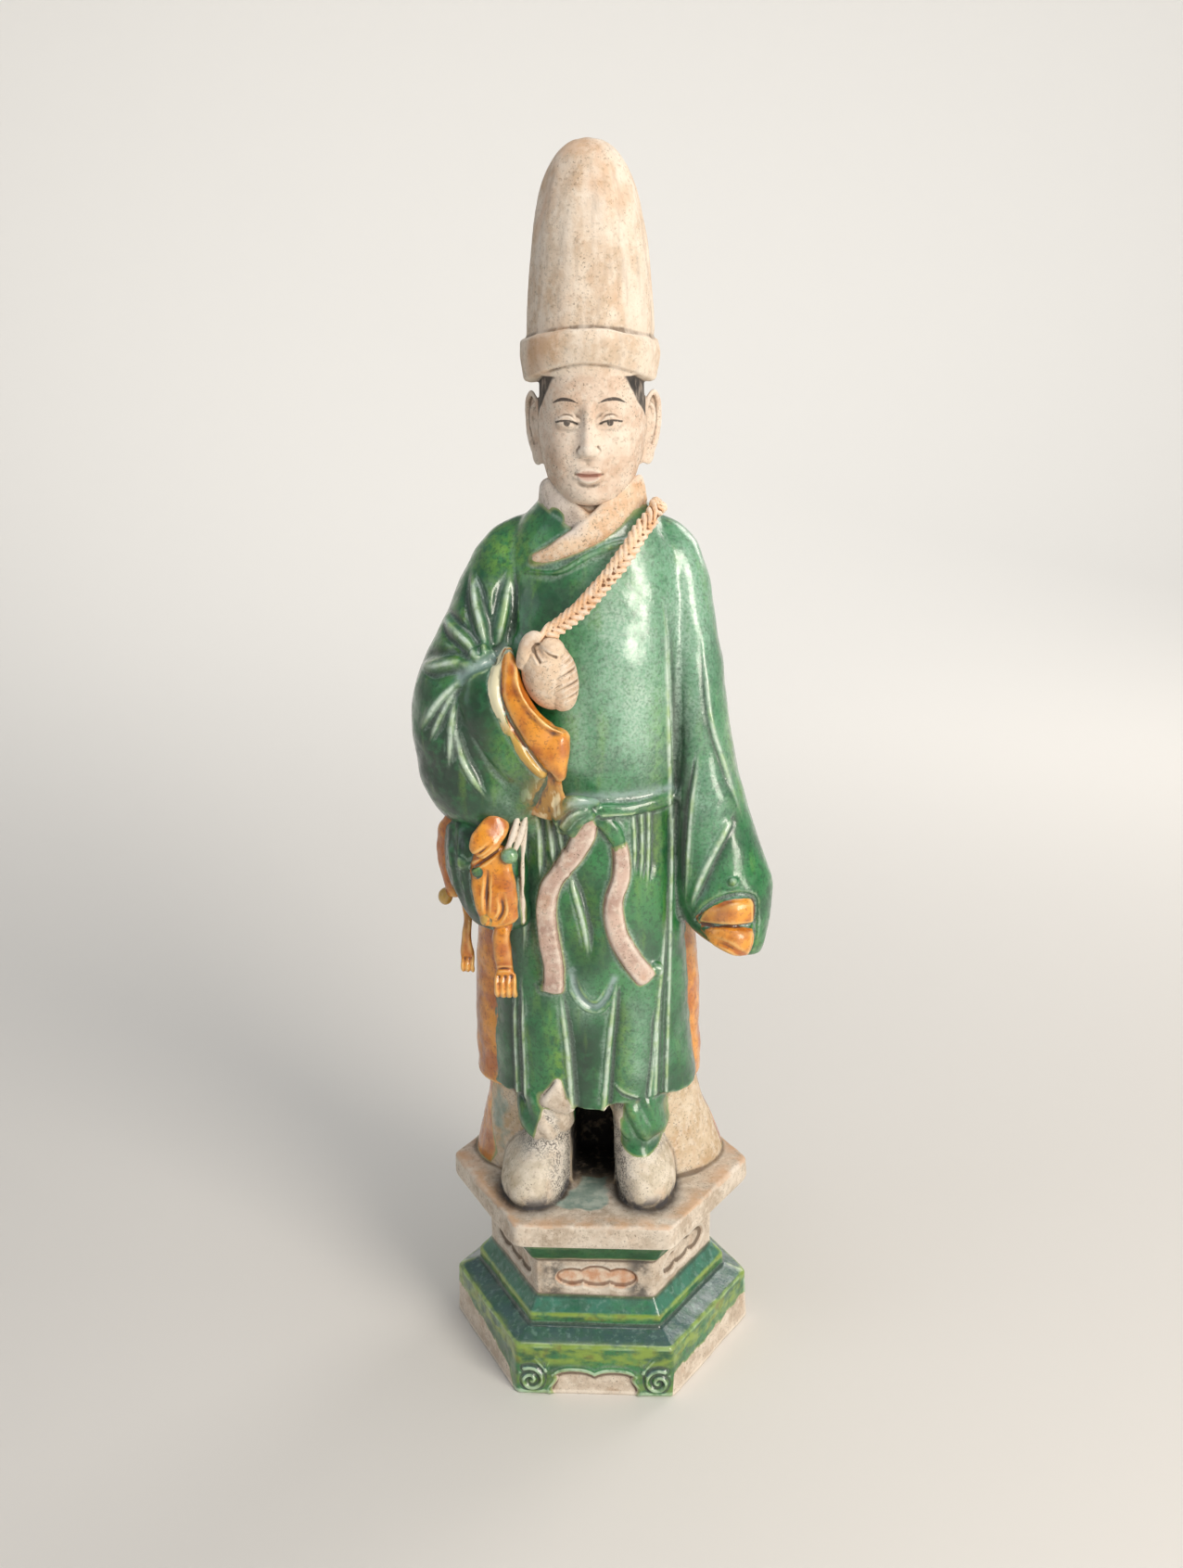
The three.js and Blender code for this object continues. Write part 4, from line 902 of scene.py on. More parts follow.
def figure_forms():
    """The figure's closed forms, by what covers each: a glaze, or one of the kinds of bare clay."""
    (nx, ny), r = NECK_MIDDLE, NECK_SEAT_RADIUS
    neck_seat = level_form([(z, nx - r, nx + r, ny - r, ny + r) for z in (NECK_SEAT_LOW, 352)], 2.0, 48)
    train = cut(level_form(TRAIN), level_form(HOLLOW, 6, 64))
    cloth, faces = level_form(COAT, COAT_SQUARE, 160)
    heights = np.array(HEM_LINE).T
    lift = np.interp(cloth[:, 0], *heights) * (1 - smoothstep(cloth[:, 2], HEM, HEM + 34)) * (cloth[:, 1] < 0)
    cloth[:, 2] += lift
    coat = cut((cloth, faces), neck_seat)
    dip = 13 * np.maximum(0, -np.sin(around(96))) ** 2
    collar_profile = [
        (16.2, 334), (24.2, 334), (24.4, 345), (24.2, 353.5), (23.4, 355.2), (21.6, 355.8), (20.4, 354.6), (19.6, 351),
        (17.6, 346), (16.2, 341), (16.2, 334.5),
    ]
    collar = loft(turned([(r, z - dip) for r, z in collar_profile], around(96), 1.0, NECK_MIDDLE))
    over_line = on_coat([(25, 352), (14, 345), (3, 336.5), (-12, 328), (-27.5, 321.5)], 1.2)
    lapels = [
        strand(over_line, (17, 15, 12, 9, 4), 4.5, coat_out),
        strand(on_coat([(-21, 355), (-13, 347), (-2, 338)], 0.6), (10, 12, 9), 4, coat_out),
    ]
    rim_line = on_coat([(33, 331), (17, 330), (2, 325.5), (-14, 317.5), (-30, 317.5)], 0.3)
    lapel_rim = strand(rim_line, 2.2, 3.4, coat_out)
    belt_line = on_coat([(-40, 206), (-30, 206), (-8, 207.5), (14, 206.5), (32, 207.5), (45, 209)], 0.6)
    belt = strand(belt_line, 7.5, 7.5, coat_out, 2.4)
    half_turn = np.linspace(-0.06, 1.06, 15) * math.pi
    behind = zip(rounded(np.cos(half_turn), COAT_SQUARE), rounded(np.sin(half_turn), COAT_SQUARE))
    belt_back = strand(
        [(-3 + 46 * c, -2.5 + 36.5 * s, 206.5) for c, s in behind],
        7.5, 6.5, lambda x, z: np.array([((x + 3) / 46) ** 3, 0.2, 0.0]), 2.4,
    )
    knot = [
        ball((-8, -42.5, 209), (5, 3.5, 4)),
        strand(
            [(-15, -42.5, 201), (-14, -46.5, 208), (-8.5, -48, 213.5), (-1, -46, 213.4), (5, -42, 211)],
            (4, 6, 6, 5, 4), 5, square=2.3,
        ),
        strand(
            [(-13.4, -42.5, 196), (-11, -46, 203), (-5.5, -47.4, 208.4), (1.5, -45, 209)],
            (4, 5.4, 5, 3.6), 4.6, square=2.3,
        ),
        strand(
            [(-9.6, -42, 195), (-6.6, -44.6, 201), (-2, -45.6, 205), (3, -44, 205.4)],
            (3.6, 4.6, 4.4, 3.4), 4.2, square=2.3,
        ),
    ]
    left_end = [(-2, 197), (-6.5, 187.5), (-13, 178), (-20, 167), (-22, 154), (-20.5, 140), (-18.7, 127), (-19.3, 113)]
    right_end = [(14, 187), (14.5, 174), (10.5, 160), (12.5, 145), (19, 131), (27, 119.5)]
    ribbons = [
        strand(
            on_coat([(-3.5, 206), *left_end], 1.3),
            (6, 9.5, 9, 8, 9, 9.6, 9.8, 9.8, 10), (7.4, 6.4, 5.4, 5, 5), coat_out, 5, 28,
        ),
        strand(on_coat([(13.2, 189.5), *right_end], 1.3), (6.4, 8, 8, 8.4, 8.8, 9.2, 8.2), 5, coat_out, 5, 28),
    ]
    root_line = on_coat([(0.5, 207), (8.5, 199), (12.6, 191.5), (13.8, 186)], 1.0)
    ribbon_root = strand(root_line, (7, 8, 7.6, 5), (7, 6, 5, 4.2), coat_out, 4)
    ribbon_hems = [
        strand(on_coat([(-24.5, 118), (-25, 113)], 0.8), 5, 3.6, coat_out, 3),
        ball((30.5, float(coat_front(30.5, 124)) - 0.4, 124), (4, 3, 3.6)),
    ]
    edge = [(px, py, pz) for (px, pz), py in zip(CUFF_EDGE, (-43, -48.5, -52, -54, -55, -55.5, -54))]
    sleeve_edges = [
        strand(edge, (4, 5.4, 5.6, 5.6, 6, 5.4, 4), 6), ball((-36.4, -45.6, 281.6), (3.4, 3.6, 5.4), 28, tilt=0.3)
    ]
    under_wrist = [(-33, -45.5, 218.5), (-39.5, -40, 208)]
    sleeve_lip = strand(
        [(px - 9, py + 4.2, pz) for px, py, pz in edge] + under_wrist,
        (8, 16, 20, 21, 21, 20, 20, 22, 20), 11, (-0.15, -1, 0), 2.2,
    )
    cuff = [
        strand(
            [
                (-35.4, -44, 285), (-34.4, -48.5, 274), (-32.6, -51.5, 265), (-28.4, -53.5, 255.6), (-22, -54.5, 248),
                (-14.5, -53.5, 245),
            ],
            (4, 8, 12, 14.5, 16, 15), 11, square=2.4,
        ),
        strand(
            [(-19, -52, 250.5), (-16.6, -53.5, 243), (-14.6, -53.4, 235.4), (-12.8, -52, 229.5), (-12.4, -50.6, 225)],
            (14, 20, 15.5, 9, 5), (11, 12, 12, 11, 9), square=2.4,
        ),
        strand(
            [
                (-32, -50, 280), (-31, -55.2, 271.8), (-27.6, -57.6, 264), (-22.4, -59, 257.6), (-16.8, -59.6, 252.6),
                (-9.6, -57.8, 249),
            ],
            (1.4, 2.2, 2.4, 2.4, 2, 1.2), 2.6,
        ),
        strand(
            [(-17.4, -50.6, 231), (-17.8, -49.6, 222), (-18.4, -47, 213), (-19, -43, 203)],
            (9, 13, 15, 15), (4.4, 3.6, 3.2, 3), square=2.8,
        ),
    ]
    lining = [
        strand(
            [(51, -27, 148), (59, -30.5, 150.5), (68, -32.5, 152.6), (78, -29, 153)],
            (3, 11, 13, 12), (7, 9, 10, 8),
        ),
        strand(
            [(54, -26, 143.5), (61, -31.5, 140), (69, -33, 138), (77.5, -29.5, 136)],
            (3.4, 11, 14.5, 14), (8, 10, 10.5, 8), square=2.8,
        ),
    ]
    drip = ball((67.5, -33.6, 169), (2.2, 1.6, 1.8))
    flared_fold = [
        strand([(-27.5, -37.5, 56), (-22, -40.6, 55), (-16.5, -41.6, 52.6), (-11, -40.4, 48.6)], (2.5, 7, 8.4, 6.4), 3),
        strand([(-20.8, -41, 51), (-19.2, -42.6, 58), (-17.6, -43, 66.5)], (12, 8.4, 1.6), 2.8),
        strand([(-25.8, -39.4, 47.5), (-26, -39.2, 52), (-26.6, -37.6, 57)], (5, 4.4, 1.6), 2.6),
    ]
    boots = [level_form(rows, 2.2, 72, 1.0) for rows in (BOOT_RIGHT, BOOT_LEFT)]
    return {
        "green": [
            coat, level_form(BENT_SLEEVE, 2.2, 110), level_form(HANGING_SLEEVE), belt, belt_back, *knot, lapel_rim,
            sleeve_lip, trouser(-25.5, -53.5), trouser(22, -53), ribbon_root, *ribbon_hems, drip,
        ],
        "amber": [level_form(ROBE_SIDES), *cuff, *lining],
        "cream": sleeve_edges,
        "lapels": [collar, *lapels],
        "ribbons": ribbons,
        "train": [train],
        "boots": boots,
        "flap": flared_fold,
        "slab": [slab_form()],
    }


def figure_relief(points, normals):
    """How far the folds push each point of the figure out or in, in millimetres."""
    x, y, z = points.T
    facing = smoothstep(-normals[:, 1], 0.05, 0.45)
    skirt = facing * (z < 201) * (x > -45) * (x < 46) * (y < -20) * (y > -46.5)
    up, down, _, _ = all_folds(points, normals)
    push = up + down
    push += gouge(points, facing * smoothstep(-x, 38, 41), ELBOW_PIT, 2.6, 3.4, 0.0, (0.5, 1, 1, 0.6))
    push += gouge(points, skirt, SLING, 1.6, 1.8, 1.0, (0, 0.8, 1, 0.8, 0))
    push += skirt * 2.4 * near(x, 0.5, 8.5) * near(z, 122, 12)
    push += gouge(points, facing, CUFF_GAP, 1.2, 1.3, 0.0, (0.2, 1, 1, 0.8))
    push += gouge(points, facing, MOUTH, 1.1, 1.8, 0.2, (0.5, 1, 1, 0.6))
    for line, width, depth in CUFF_LINES:
        push += gouge(points, facing, line, width, depth, 0.3, (0.4, 1, 0.4))
    push += skirt * 1.3 * near(x, -25, 6) * near(z, 80, 30)
    push += skirt * 1.2 * near(x, 20, 7) * near(z, 85, 30)
    push += 0.4 * wobble(points, 24, 11) + 0.22 * wobble(points, 8, 12)
    return push * smoothstep(z, -SLAB_THICKNESS + 1, -SLAB_THICKNESS + 3)


def clay_piece(name, stands_for, forms, grain, triangles, relief, marks, soften=None):
    """Fuses closed forms into one skin, presses its relief and links it as a piece that rides the root.

    soften gives how much of each point to smooth away first. marks names attributes that hold how far inside some
    of the groups of forms each point lies."""
    mesh = fused(name, [solid for group in forms.values() for solid in group], grain)
    points, _, edges = read_mesh(mesh)
    low = points[:, 2].min()
    points = relax(points, edges, 2, 0.5)
    if soften:
        points = relax(points, edges, 14, 0.6 * soften(points)[:, None])
    write_points(mesh, points)
    points, normals, edges = read_mesh(mesh)
    points = relax(points + normals * relief(points, normals)[:, None], edges, 2, 0.5)
    points[:, 2] = np.maximum(points[:, 2], low)
    write_points(mesh, points)
    mark(mesh, crest_mm=crests(*read_mesh(mesh), round(5 * (0.95 / grain) ** 1.3)))
    mesh = thinned(mesh, triangles)
    points, _, _ = read_mesh(mesh)
    away, far = {}, np.full(len(points), 30.0)
    for group, solids in forms.items():
        skin = BVHTree.FromPolygons(*[list(map(tuple, part)) for part in joined(solids)])
        away[group] = np.array([skin.find_nearest(p)[3] for p in points.tolist()])
    for attribute, groups in marks.items():
        inside = np.min([away[g] for g in groups] or [far], axis=0)
        outside = np.min([gap for g, gap in away.items() if g not in groups] or [far], axis=0)
        mark(mesh, **{attribute: outside - inside if groups else -inside})
    mesh.transform(Matrix.Translation((0, 0, SLAB_TOP)))
    piece = add_object(name, mesh)
    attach(piece, "root")
    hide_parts(stands_for)
    return piece


def soft_joins(points):
    """The sleeves run into the coat over the shoulders without a seam, and to the band at the wrist's opening."""
    x, y, z = points.T
    shoulders = smoothstep(z, 305, 322) * np.maximum(smoothstep(-x, 22, 30), smoothstep(x, 20, 28))
    gap, _, side = distance_to_line(smooth_line(CUFF_EDGE), x, z)
    wrist = smoothstep(gap, 3.2, 5.5) * (1 - smoothstep(gap, 21, 27)) * (side < 0) * (y < -25) * smoothstep(z, 224, 232)
    bag = (1 - smoothstep(np.hypot((x + 38) / 22, (z - 213) / 20), 0.7, 1.0)) * (y < -20) * smoothstep(-x, 22, 27)
    shank = 0.8 * smoothstep(-x, 8, 14) * smoothstep(x, -38, -34) * smoothstep(z, 26, 30) * (1 - smoothstep(z, 44, 47))
    return np.maximum.reduce([shoulders * (1 - smoothstep(z, 340, 344)), wrist * (z < 292), bag, shank * (y < -28)])


figure = clay_piece(
    "attendant_figure", "attendant_body", figure_forms(),
    grain=0.9, triangles=190000, relief=figure_relief, soften=soft_joins,
    marks={
        "amber_mm": ["amber"], "cream_mm": ["cream"], "lapel_mm": ["lapels"], "ribbon_mm": ["ribbons"],
        "train_mm": ["train"], "boot_mm": ["boots"],
        "bare_mm": ["lapels", "ribbons", "train", "boots", "flap", "slab"],
    },
)

# Where the glaze is thin and clouded, with a painted reflection of the window on the chest and the hanging sleeve;
# where it is deep, with painted shade over the left sleeve and between the chest and the hanging sleeve; and where
# it turned yellow: x, z, width, height, strength.
CLOUDED_AND_SHEEN = [
    (16, 286, 18, 42, 1.0), (47, 296, 10, 40, 1.0), (26, 322, 12, 14, 0.5), (58, 215, 11, 44, 0.5),
    (22, 245, 15, 26, 0.6), (-4, 108, 9, 12, 0.4), (22, 90, 9, 30, 0.4), (-6, 242, 6, 28, 0.6), (-30, 150, 6, 30, 0.25),
]
DEEP_AND_SHADED = [
    (-66, 225, 20, 34, 0.9), (-48, 262, 9, 30, 0.6), (-12, 305, 13, 13, 0.5), (-4, 76, 8, 30, 0.7),
    (-38, 90, 7, 40, 0.7), (42, 222, 5, 50, 0.9), (-30, 165, 7, 26, 0.5),
]
YELLOWED = [
    (-38, 324, 15, 12, 0.8), (-62, 285, 9, 16, 0.5), (-22, 189, 6, 12, 1.0), (29, 186, 5, 20, 0.8),
    (-17, 74, 5, 24, 0.8), (15, 78, 5, 30, 0.6), (67, 262, 4, 50, 0.6), (-3, 152, 7, 18, 0.6), (31, 240, 4, 30, 0.5),
    (-36, 236, 9, 16, 0.5),
]


def clouds(points, places):
    """How strongly each point belongs to a list of soft-edged places on the front of the figure."""
    total = np.zeros(len(points))
    for x, z, wide, high, strength in places:
        total += strength * near(points[:, 0], x, wide) * near(points[:, 2], z, high)
    return total * smoothstep(-points[:, 1], -15, 5)


def within(*depths):
    """The depth inside a place that several limits bound together."""
    return np.minimum.reduce(depths)


def glazed_over(bare, patch, where=True):
    """The depth inside the bare clay once a patch of glaze lies over it."""
    return np.where((patch > -2) & where, np.minimum(bare, -patch), bare)


points, normals, _ = read_mesh(figure.data, SLAB_TOP)
x, y, z = points.T
_, _, ridge, groove = all_folds(points, normals)
in_sling, in_pit = (
    near(distance_to_line(smooth_line(line), x, z)[0], 0, wide) for line, wide in ((SLING, 1.5), (ELBOW_PIT, 2.6))
)
dust = np.maximum(in_sling * (abs(x) < 14) * (y < -36), 0.9 * in_pit * (x < -31) * (y < -30))
dust = np.maximum(dust, 0.8 * near(z, 213.5, 1.8) * (x > -10) * (x < 40) * (y < -20))
# Bare to the shank on the right leg, a dribble over the left boot, and amber down the sides of the train.
amber, bare = np.empty((2, len(x)), np.float32)
for values, name in ((amber, "amber_mm"), (bare, "bare_mm")):
    figure.data.attributes[name].data.foreach_get("value", values)
shank = within(x + 33.5 - (z - 24) * 0.3, -8 - x, z - 22, 50 - z, -28 - y)
inner_edge = within(13.4 - x + 0.1 * (z - 38), z - 20, 52 - z, -24 - y, x - 5)
dribble = within(z - 24.5 - ((x - 24) / 8) ** 2 * 2, 44 - z, x - 13, 35 - x, -20 - y)
runs = 1.5 * wobble(points, 20, 51) + 0.6 * wobble(points, 7, 52)
right_side = within(y + 11.5 + runs, 15 - y + runs, -50 - x, z - 1.2)
left_side = within(y - 8 + runs, 24 - y + runs, x - 46, z - 1.2)
amber_side = np.where(z < HEM + 6, np.maximum(right_side, left_side), -20)
robe = within(amber, np.where(y > -20, within(25 - y + runs, WAISTLINE - 3 - z), 9))
from_neck = np.hypot(x - NECK_MIDDLE[0], y - NECK_MIDDLE[1])
in_collar = np.maximum(within(17.6 - from_neck, z - 326), within((z - 329) * 0.7 - abs(x - 1), 26 - from_neck, -8 - y))
dab = 3.4 - np.hypot((x + 14.4) * 0.8 + (z - 341) * 0.5, (z - 341) * 0.62 - (x + 14.4) * 0.4)
bare = glazed_over(np.maximum.reduce([bare, shank, inner_edge]), dribble)
bare = glazed_over(np.maximum(glazed_over(bare, amber_side), in_collar), dab, y < -16)
puddle = within(x + 22.3 - 0.475 * (y + 53), 6.8 - x, y + 54 - 0.01 * x**2, -22 - y) / 8
beside_boot = 0.35 - 0.4 * np.hypot((x + 50) / 6, (z - 34) / 24)
beside_boot = np.where((z >= 1.5) & (z < HEM) & (y < -6) & (x < -40), beside_boot, -1)
flats = np.arange(3)[:, None] * math.pi / 3 + math.pi / 6
across_flats = np.abs(x * np.cos(flats) + y * np.sin(flats)).max(axis=0)
# The hollow between the boots goes near black: painted shade, with soil. The foot of each boot is darker all round.
hollow = smoothstep(y, -40, -14) * (y < 16) * (x > -14.5) * (x < 10.5) * (z < 50) * (z > -2)
round_boots = near(np.hypot((x + 32) / 17, (y + 32) / 22), 1, 0.22)
round_boots += near(np.hypot((x - 25.5) / 15, (y + 31) / 22), 1, 0.22)
mark(
    figure.data, ridge=ridge, groove=groove, dust=dust,
    cloud=clouds(points, CLOUDED_AND_SHEEN), deep=clouds(points, DEEP_AND_SHADED), yellow=clouds(points, YELLOWED),
    bare_depth=bare, amber_depth=np.maximum(robe, amber_side),
    puddle=np.where((z < 1.5) & (z > -2), puddle, beside_boot),
    stain=np.minimum(1, 1.5 * near(x, -19, 8) * near(z, 214, 12)) * (y < -36),
    slab_edge=(z < 1) * (normals[:, 2] > 0.3) * near(across_flats, 65, 5),
    soil=np.maximum(hollow, 0.8 * round_boots * smoothstep(-z, -7, 1) * (z > -2)),
)


def amber_glaze(at, stained):
    """Iron-amber lead glaze: yellow where it ran thinner, with a painted highlight on ridges, brown in its folds, with
    painted shade there, and plum stains, from 0 to 1, where it crawled.
    """
    return coats(
        at, "c0690f",
        ((11, 5), 0.38, 0.62, "ec9c27"),
        (mask(at, (15, 7, 0.32), 0.46, 0.74, 0.8) * stained, "8a4015"),
        (mask(at, (12, 7, 0.32), 0.54, 0.76, 0.6) * stained, "94665c"),
        ((1.5, 4), 0.52, 0.7, 0.5, "7d3d12"),
        ("crest_mm", -0.03, -0.26, 0.9, "47200e"),
        ("crest_mm", 0.04, 0.28, 0.7, "f6c878"),
    )


# Green, amber and cream lead glaze side by side, bare clay where they stop: each border wanders as glaze ran.
three_colour, tree = new_material("three_colour_lead_glaze")
at = node(tree, "ShaderNodeTexCoord").outputs["Object"]
across, forward, height = (field(at, axis) for axis in "XYZ")
wander = (field(at, (5, 5)) - 0.5) * 1.8


def border(name, inset=-1.0, soft=0.6):
    """1 inside the part that an attribute marks, 0 outside it."""
    return mask(at, field(at, name) + wander, inset - soft, inset + soft)


patchy = mask(at, (3.2, 5), 0.3, 0.52, 1.0, 0.45)
smears = field(at, (6, 8, 0.3))
smeared = coats(at, "47432b", (smears, 0.4, 0.48, "a3782f"), (smears, 0.52, 0.6, "d6c69c"))
low_down = mask(at, height, SLAB_TOP + 0.270, SLAB_TOP + 0.238) + (field(at, (6, 5)) - 0.5)
# Cream glaze, ochre low down, with painted shade in its hollows.
pale_glaze = coats(at, "dcd6b4", (low_down, 0.2, 0.9, "cba24a"), ("crest_mm", -0.03, -0.25, 0.8, "4a3a1e"))
colour = coats(
    at, green_glaze(at, *(field(at, name) for name in ("cloud", "deep", "yellow"))),
    # Painted shade in the groove beside each fold; on its ridge, pale worn glaze and a painted highlight.
    (field(at, "groove") * 0.8, "08301f"),
    (field(at, "ridge") * patchy, coats(at, "c8dccd", ((9, 4), 0.44, 0.64, "abc894"))),
    (field(at, "dust") * patchy, "93aea9"),
    (border("amber_depth", 0, 0.2), amber_glaze(at, mask(at, forward, AXIS.y - 0.042, AXIS.y - 0.034, 1.0, 0.3))),
    (field(at, "stain") * mask(at, smears, 0.3, 0.5, 1.0, 0.55), smeared),
    (border("cream_mm", 0, 0.2), pale_glaze),
    ("bare_depth", -1.4, 0.2, 0.6, "b7ba78"),
)
pale_side = mask(at, across, AXIS.x + 0.002, AXIS.x - 0.006) * mask(at, height, SLAB_TOP + 0.330, SLAB_TOP + 0.336)
lapel = coats(at, bare_clay(at, "e6cbad", "d3ab86"), (pale_side, bare_clay(at, "ded2c8", "c4b4a6", 0.1)))
boots = border("boot_mm")
between = mask(at, (across - (AXIS.x - 0.002)).combined("ABSOLUTE"), 0.026, 0.014)
sooty = boots * mask(at, height, SLAB_TOP + 0.020, SLAB_TOP + 0.030).combined("MAXIMUM", between)
toe_dirt = mask(at, height, SLAB_TOP + 0.010, SLAB_TOP + 0.003) * mask(at, (7, 6), 0.46, 0.6, 0.75)
puddle = mask(at, field(at, "puddle") + (field(at, (9, 6)) - 0.5), 0.0, 0.3, 0.8)
clay = coats(
    at, bare_clay(at, "d9cdbd", "bbab98", 0.15),
    (field(at, "slab_edge") * mask(at, (11, 5), 0.34, 0.6, 0.75), "cfa47c"),
    (border("lapel_mm"), lapel),
    (border("ribbon_mm"), bare_clay(at, "d3b9aa", "b7998c")),
    (border("train_mm"), bare_clay(at, "decdb4", "c3aa88")),
    (boots, bare_clay(at, "dcd2c0", "b6a88f", 0.3)),
    (sooty * 0.6, "e4dfd8"),
    (sooty * mask(at, (0.9, 5), 0.43, 0.57) * mask(at, (5, 7), 0.32, 0.54) * 0.85, "55514e"),
    (boots * toe_dirt, "5b5c66"),
    # Near black in the hollow between the boots: painted shade, with soil; darker round the foot of each boot.
    (field(at, "soil") * mask(at, (4, 6), 0.3, 0.5, 1.0, 0.75), "1f1b18"),
    (puddle, coats(at, "74958d", ((5, 7), 0.36, 0.64, "a5b8ae"))),
)
bare = border("bare_depth", 0.1, 0.2)
fired_clay(at, coats(at, colour, (bare, clay)), bare - puddle * 0.7)
figure.data.materials.append(three_colour)

# The fur pouch at the waist: an animal's skin sewn as a bag, its paws hanging down, with round toggles. It is
# one mould with the figure, amber over a green ground.
POUCH = [
    (146, -50, -32, -42, -16), (148, -56, -29.5, -45.5, -10), (154, -62, -28.5, -48, -6), (172, -70, -29, -48, 0),
    (190, -71, -31, -46.5, 0), (201, -67, -32, -41, -4), (207, -56, -36, -32, -12),
]


def toes(count, start, pitch, tip, width):
    """The toes of a paw side by side: each bends forward and down from a common start to its tip."""
    x, y, z = start
    return [
        strand(
            [(u, y, z), (u, y - 2.6, z - 4), (u, y - 2.2, z - tip * 0.7), (u, y + 0.5, z - tip)],
            (width, width * 1.05, width, width * 0.8), (3, 4, 4, 3), square=2.1, step=0.5,
        )
        for u in (x + pitch * k for k in range(count))
    ]


def pouch_forms():
    body = on_form(POUCH, [(-47, 192), (-46.4, 184), (-45.6, 174), (-44.4, 163), (-41.8, 151)], 0.5)
    return {
        "green": [
            level_form(POUCH, 2.6, 80),
            ball((-37.2, -51, 187.6), (4.0, 3.6, 4.0), 32),
            ball((-52.6, -49.5, 179), (2.8, 2.6, 3.4), 28, tilt=0.5),
            ball((-60, -45.5, 182), (3, 2.4, 3.6), 28, tilt=-0.4),
        ],
        "amber": [
            strand(body, (12, 19.5, 21.5, 20.5, 16), (6, 7, 8, 8, 7.5), square=2.5),
            strand(
                [(-40.5, -42.5, 204), (-44.6, -47.4, 200), (-49, -50.2, 194.4), (-53.4, -49.8, 187.5)],
                (9, 14, 14.5, 9), 6, square=2.7,
            ),
            strand(
                [(-64, -31, 204), (-69.5, -28, 190), (-70.5, -25.5, 174), (-66, -27, 157)],
                (8, 11, 10, 6), 8, (-1, -0.8, 0),
            ),
            strand(
                [(-40, -42, 156), (-42.8, -46.5, 146), (-42.4, -46.5, 136), (-41.4, -46, 124)],
                (9, 7.6, 8.4, 10), (9, 8, 7, 7),
            ),
            *toes(4, (-45.6, -46.6, 126.5), 2.85, 12.6, 2.3),
            strand(
                [(-62, -26, 160), (-61.3, -30, 149), (-61.8, -32, 138), (-62, -31.5, 127)],
                (7, 3.6, 4.4, 7.4), (8, 5, 5, 6),
            ),
            *toes(3, (-64, -32, 129), 2.4, 8.5, 2.0),
        ],
        "cream": [
            ball((-49.4, -49, 155), (3.2, 3.4, 4.2), 32, tilt=0.5),
            ball((-72.4, -24.5, 156.5), (3.4, 3.6, 4.4), 32, tilt=0.3),
        ],
        "straps": [
            strand([(-33.4, -41.5, 206), (-35.8, -47, 197), (-38.9, -50, 189.5)], 2.6, 4.6),
            strand([(-29.4, -40.5, 206), (-32.2, -44.5, 197), (-35.4, -47.5, 188)], 2.6, 4.6),
            strand(
                [(-29.8, -40, 206), (-31.6, -43, 190), (-32.4, -43.5, 168), (-32.4, -42.5, 150)], (3, 2.4, 1.8, 1), 2.4
            ),
        ],
    }


POUCH_CREASES = [
    ([(-56.5, 180.5), (-50, 184.5), (-42, 190.5)], 1.1, 1.6),
    ([(-55, 187.5), (-50, 190.5), (-45.5, 194.5)], 0.8, 0.9),
    ([(-47.6, 180), (-48.6, 168), (-49, 158)], 1.2, 1.5),
    ([(-41.6, 168), (-41.2, 160), (-44.6, 154)], 1.3, 1.3),
    ([(-65, 198), (-64, 180), (-61, 160)], 1.6, 1.4),
    ([(-47, 128), (-42, 129.5), (-37, 128.5)], 0.8, 0.8),
]


def pouch_relief(points, normals):
    facing = smoothstep(-normals[:, 1], 0.0, 0.4)
    push = 0.3 * wobble(points, 9, 21) + 0.15 * wobble(points, 4, 22)
    for line, width, depth in POUCH_CREASES:
        push += gouge(points, facing, line, width, depth, 0.45, (0.2, 1, 0.2))
    return push


pouch = clay_piece(
    "fur_pouch_with_paws", "attendant_body", pouch_forms(),
    grain=0.55, triangles=60000, relief=pouch_relief,
    marks={
        "amber_depth": ["amber"], "cream_mm": ["cream"], "bare_depth": ["straps"],
        "lapel_mm": [], "ribbon_mm": [], "train_mm": [], "boot_mm": [],
    },
)
points, _, _ = read_mesh(pouch.data, SLAB_TOP)
bead = near(np.hypot(points[:, 0] + 37.2, points[:, 2] - 187.6), 0, 4.6)
# The bead: yellowed glaze with a painted highlight. The rest of the pouch's green is darker.
mark(pouch.data, deep=0.7 * (1 - bead), yellow=0.8 * bead, cloud=0.6 * bead, puddle=0 * bead - 1)
pouch.data.materials.append(three_colour)

# The right fist and the plaited cord that it holds over the shoulder: bare clay, the plait cut with a knife
# into two rows of slanted strands.
CORD = [
    (30.5, -6, 342), (31, -15, 343.8), (28.6, -23.5, 342), (24, -30, 336), (18.5, -34.8, 327.5), (11, -38.6, 317.5),
    (-2.2, -43.8, 303), (-12, -47.2, 295.6), (-19, -50.5, 291.4),
]
CORD_PITCH = 3.5
# The strands on each side of the plait: places beside, along and out from the middle of the cord's front.
LONG_STRAND = [(-1.2, -4.2, 0.3), (0.7, -1.2, 0.9), (2.5, 2.0, 0.6), (4.1, 5.2, -1.1)]
SHORT_STRAND = [(-1.0, -2.4, 0.3), (0.8, -0.9, 0.9), (2.4, 0.9, 0.7), (3.9, 2.6, -1.1)]


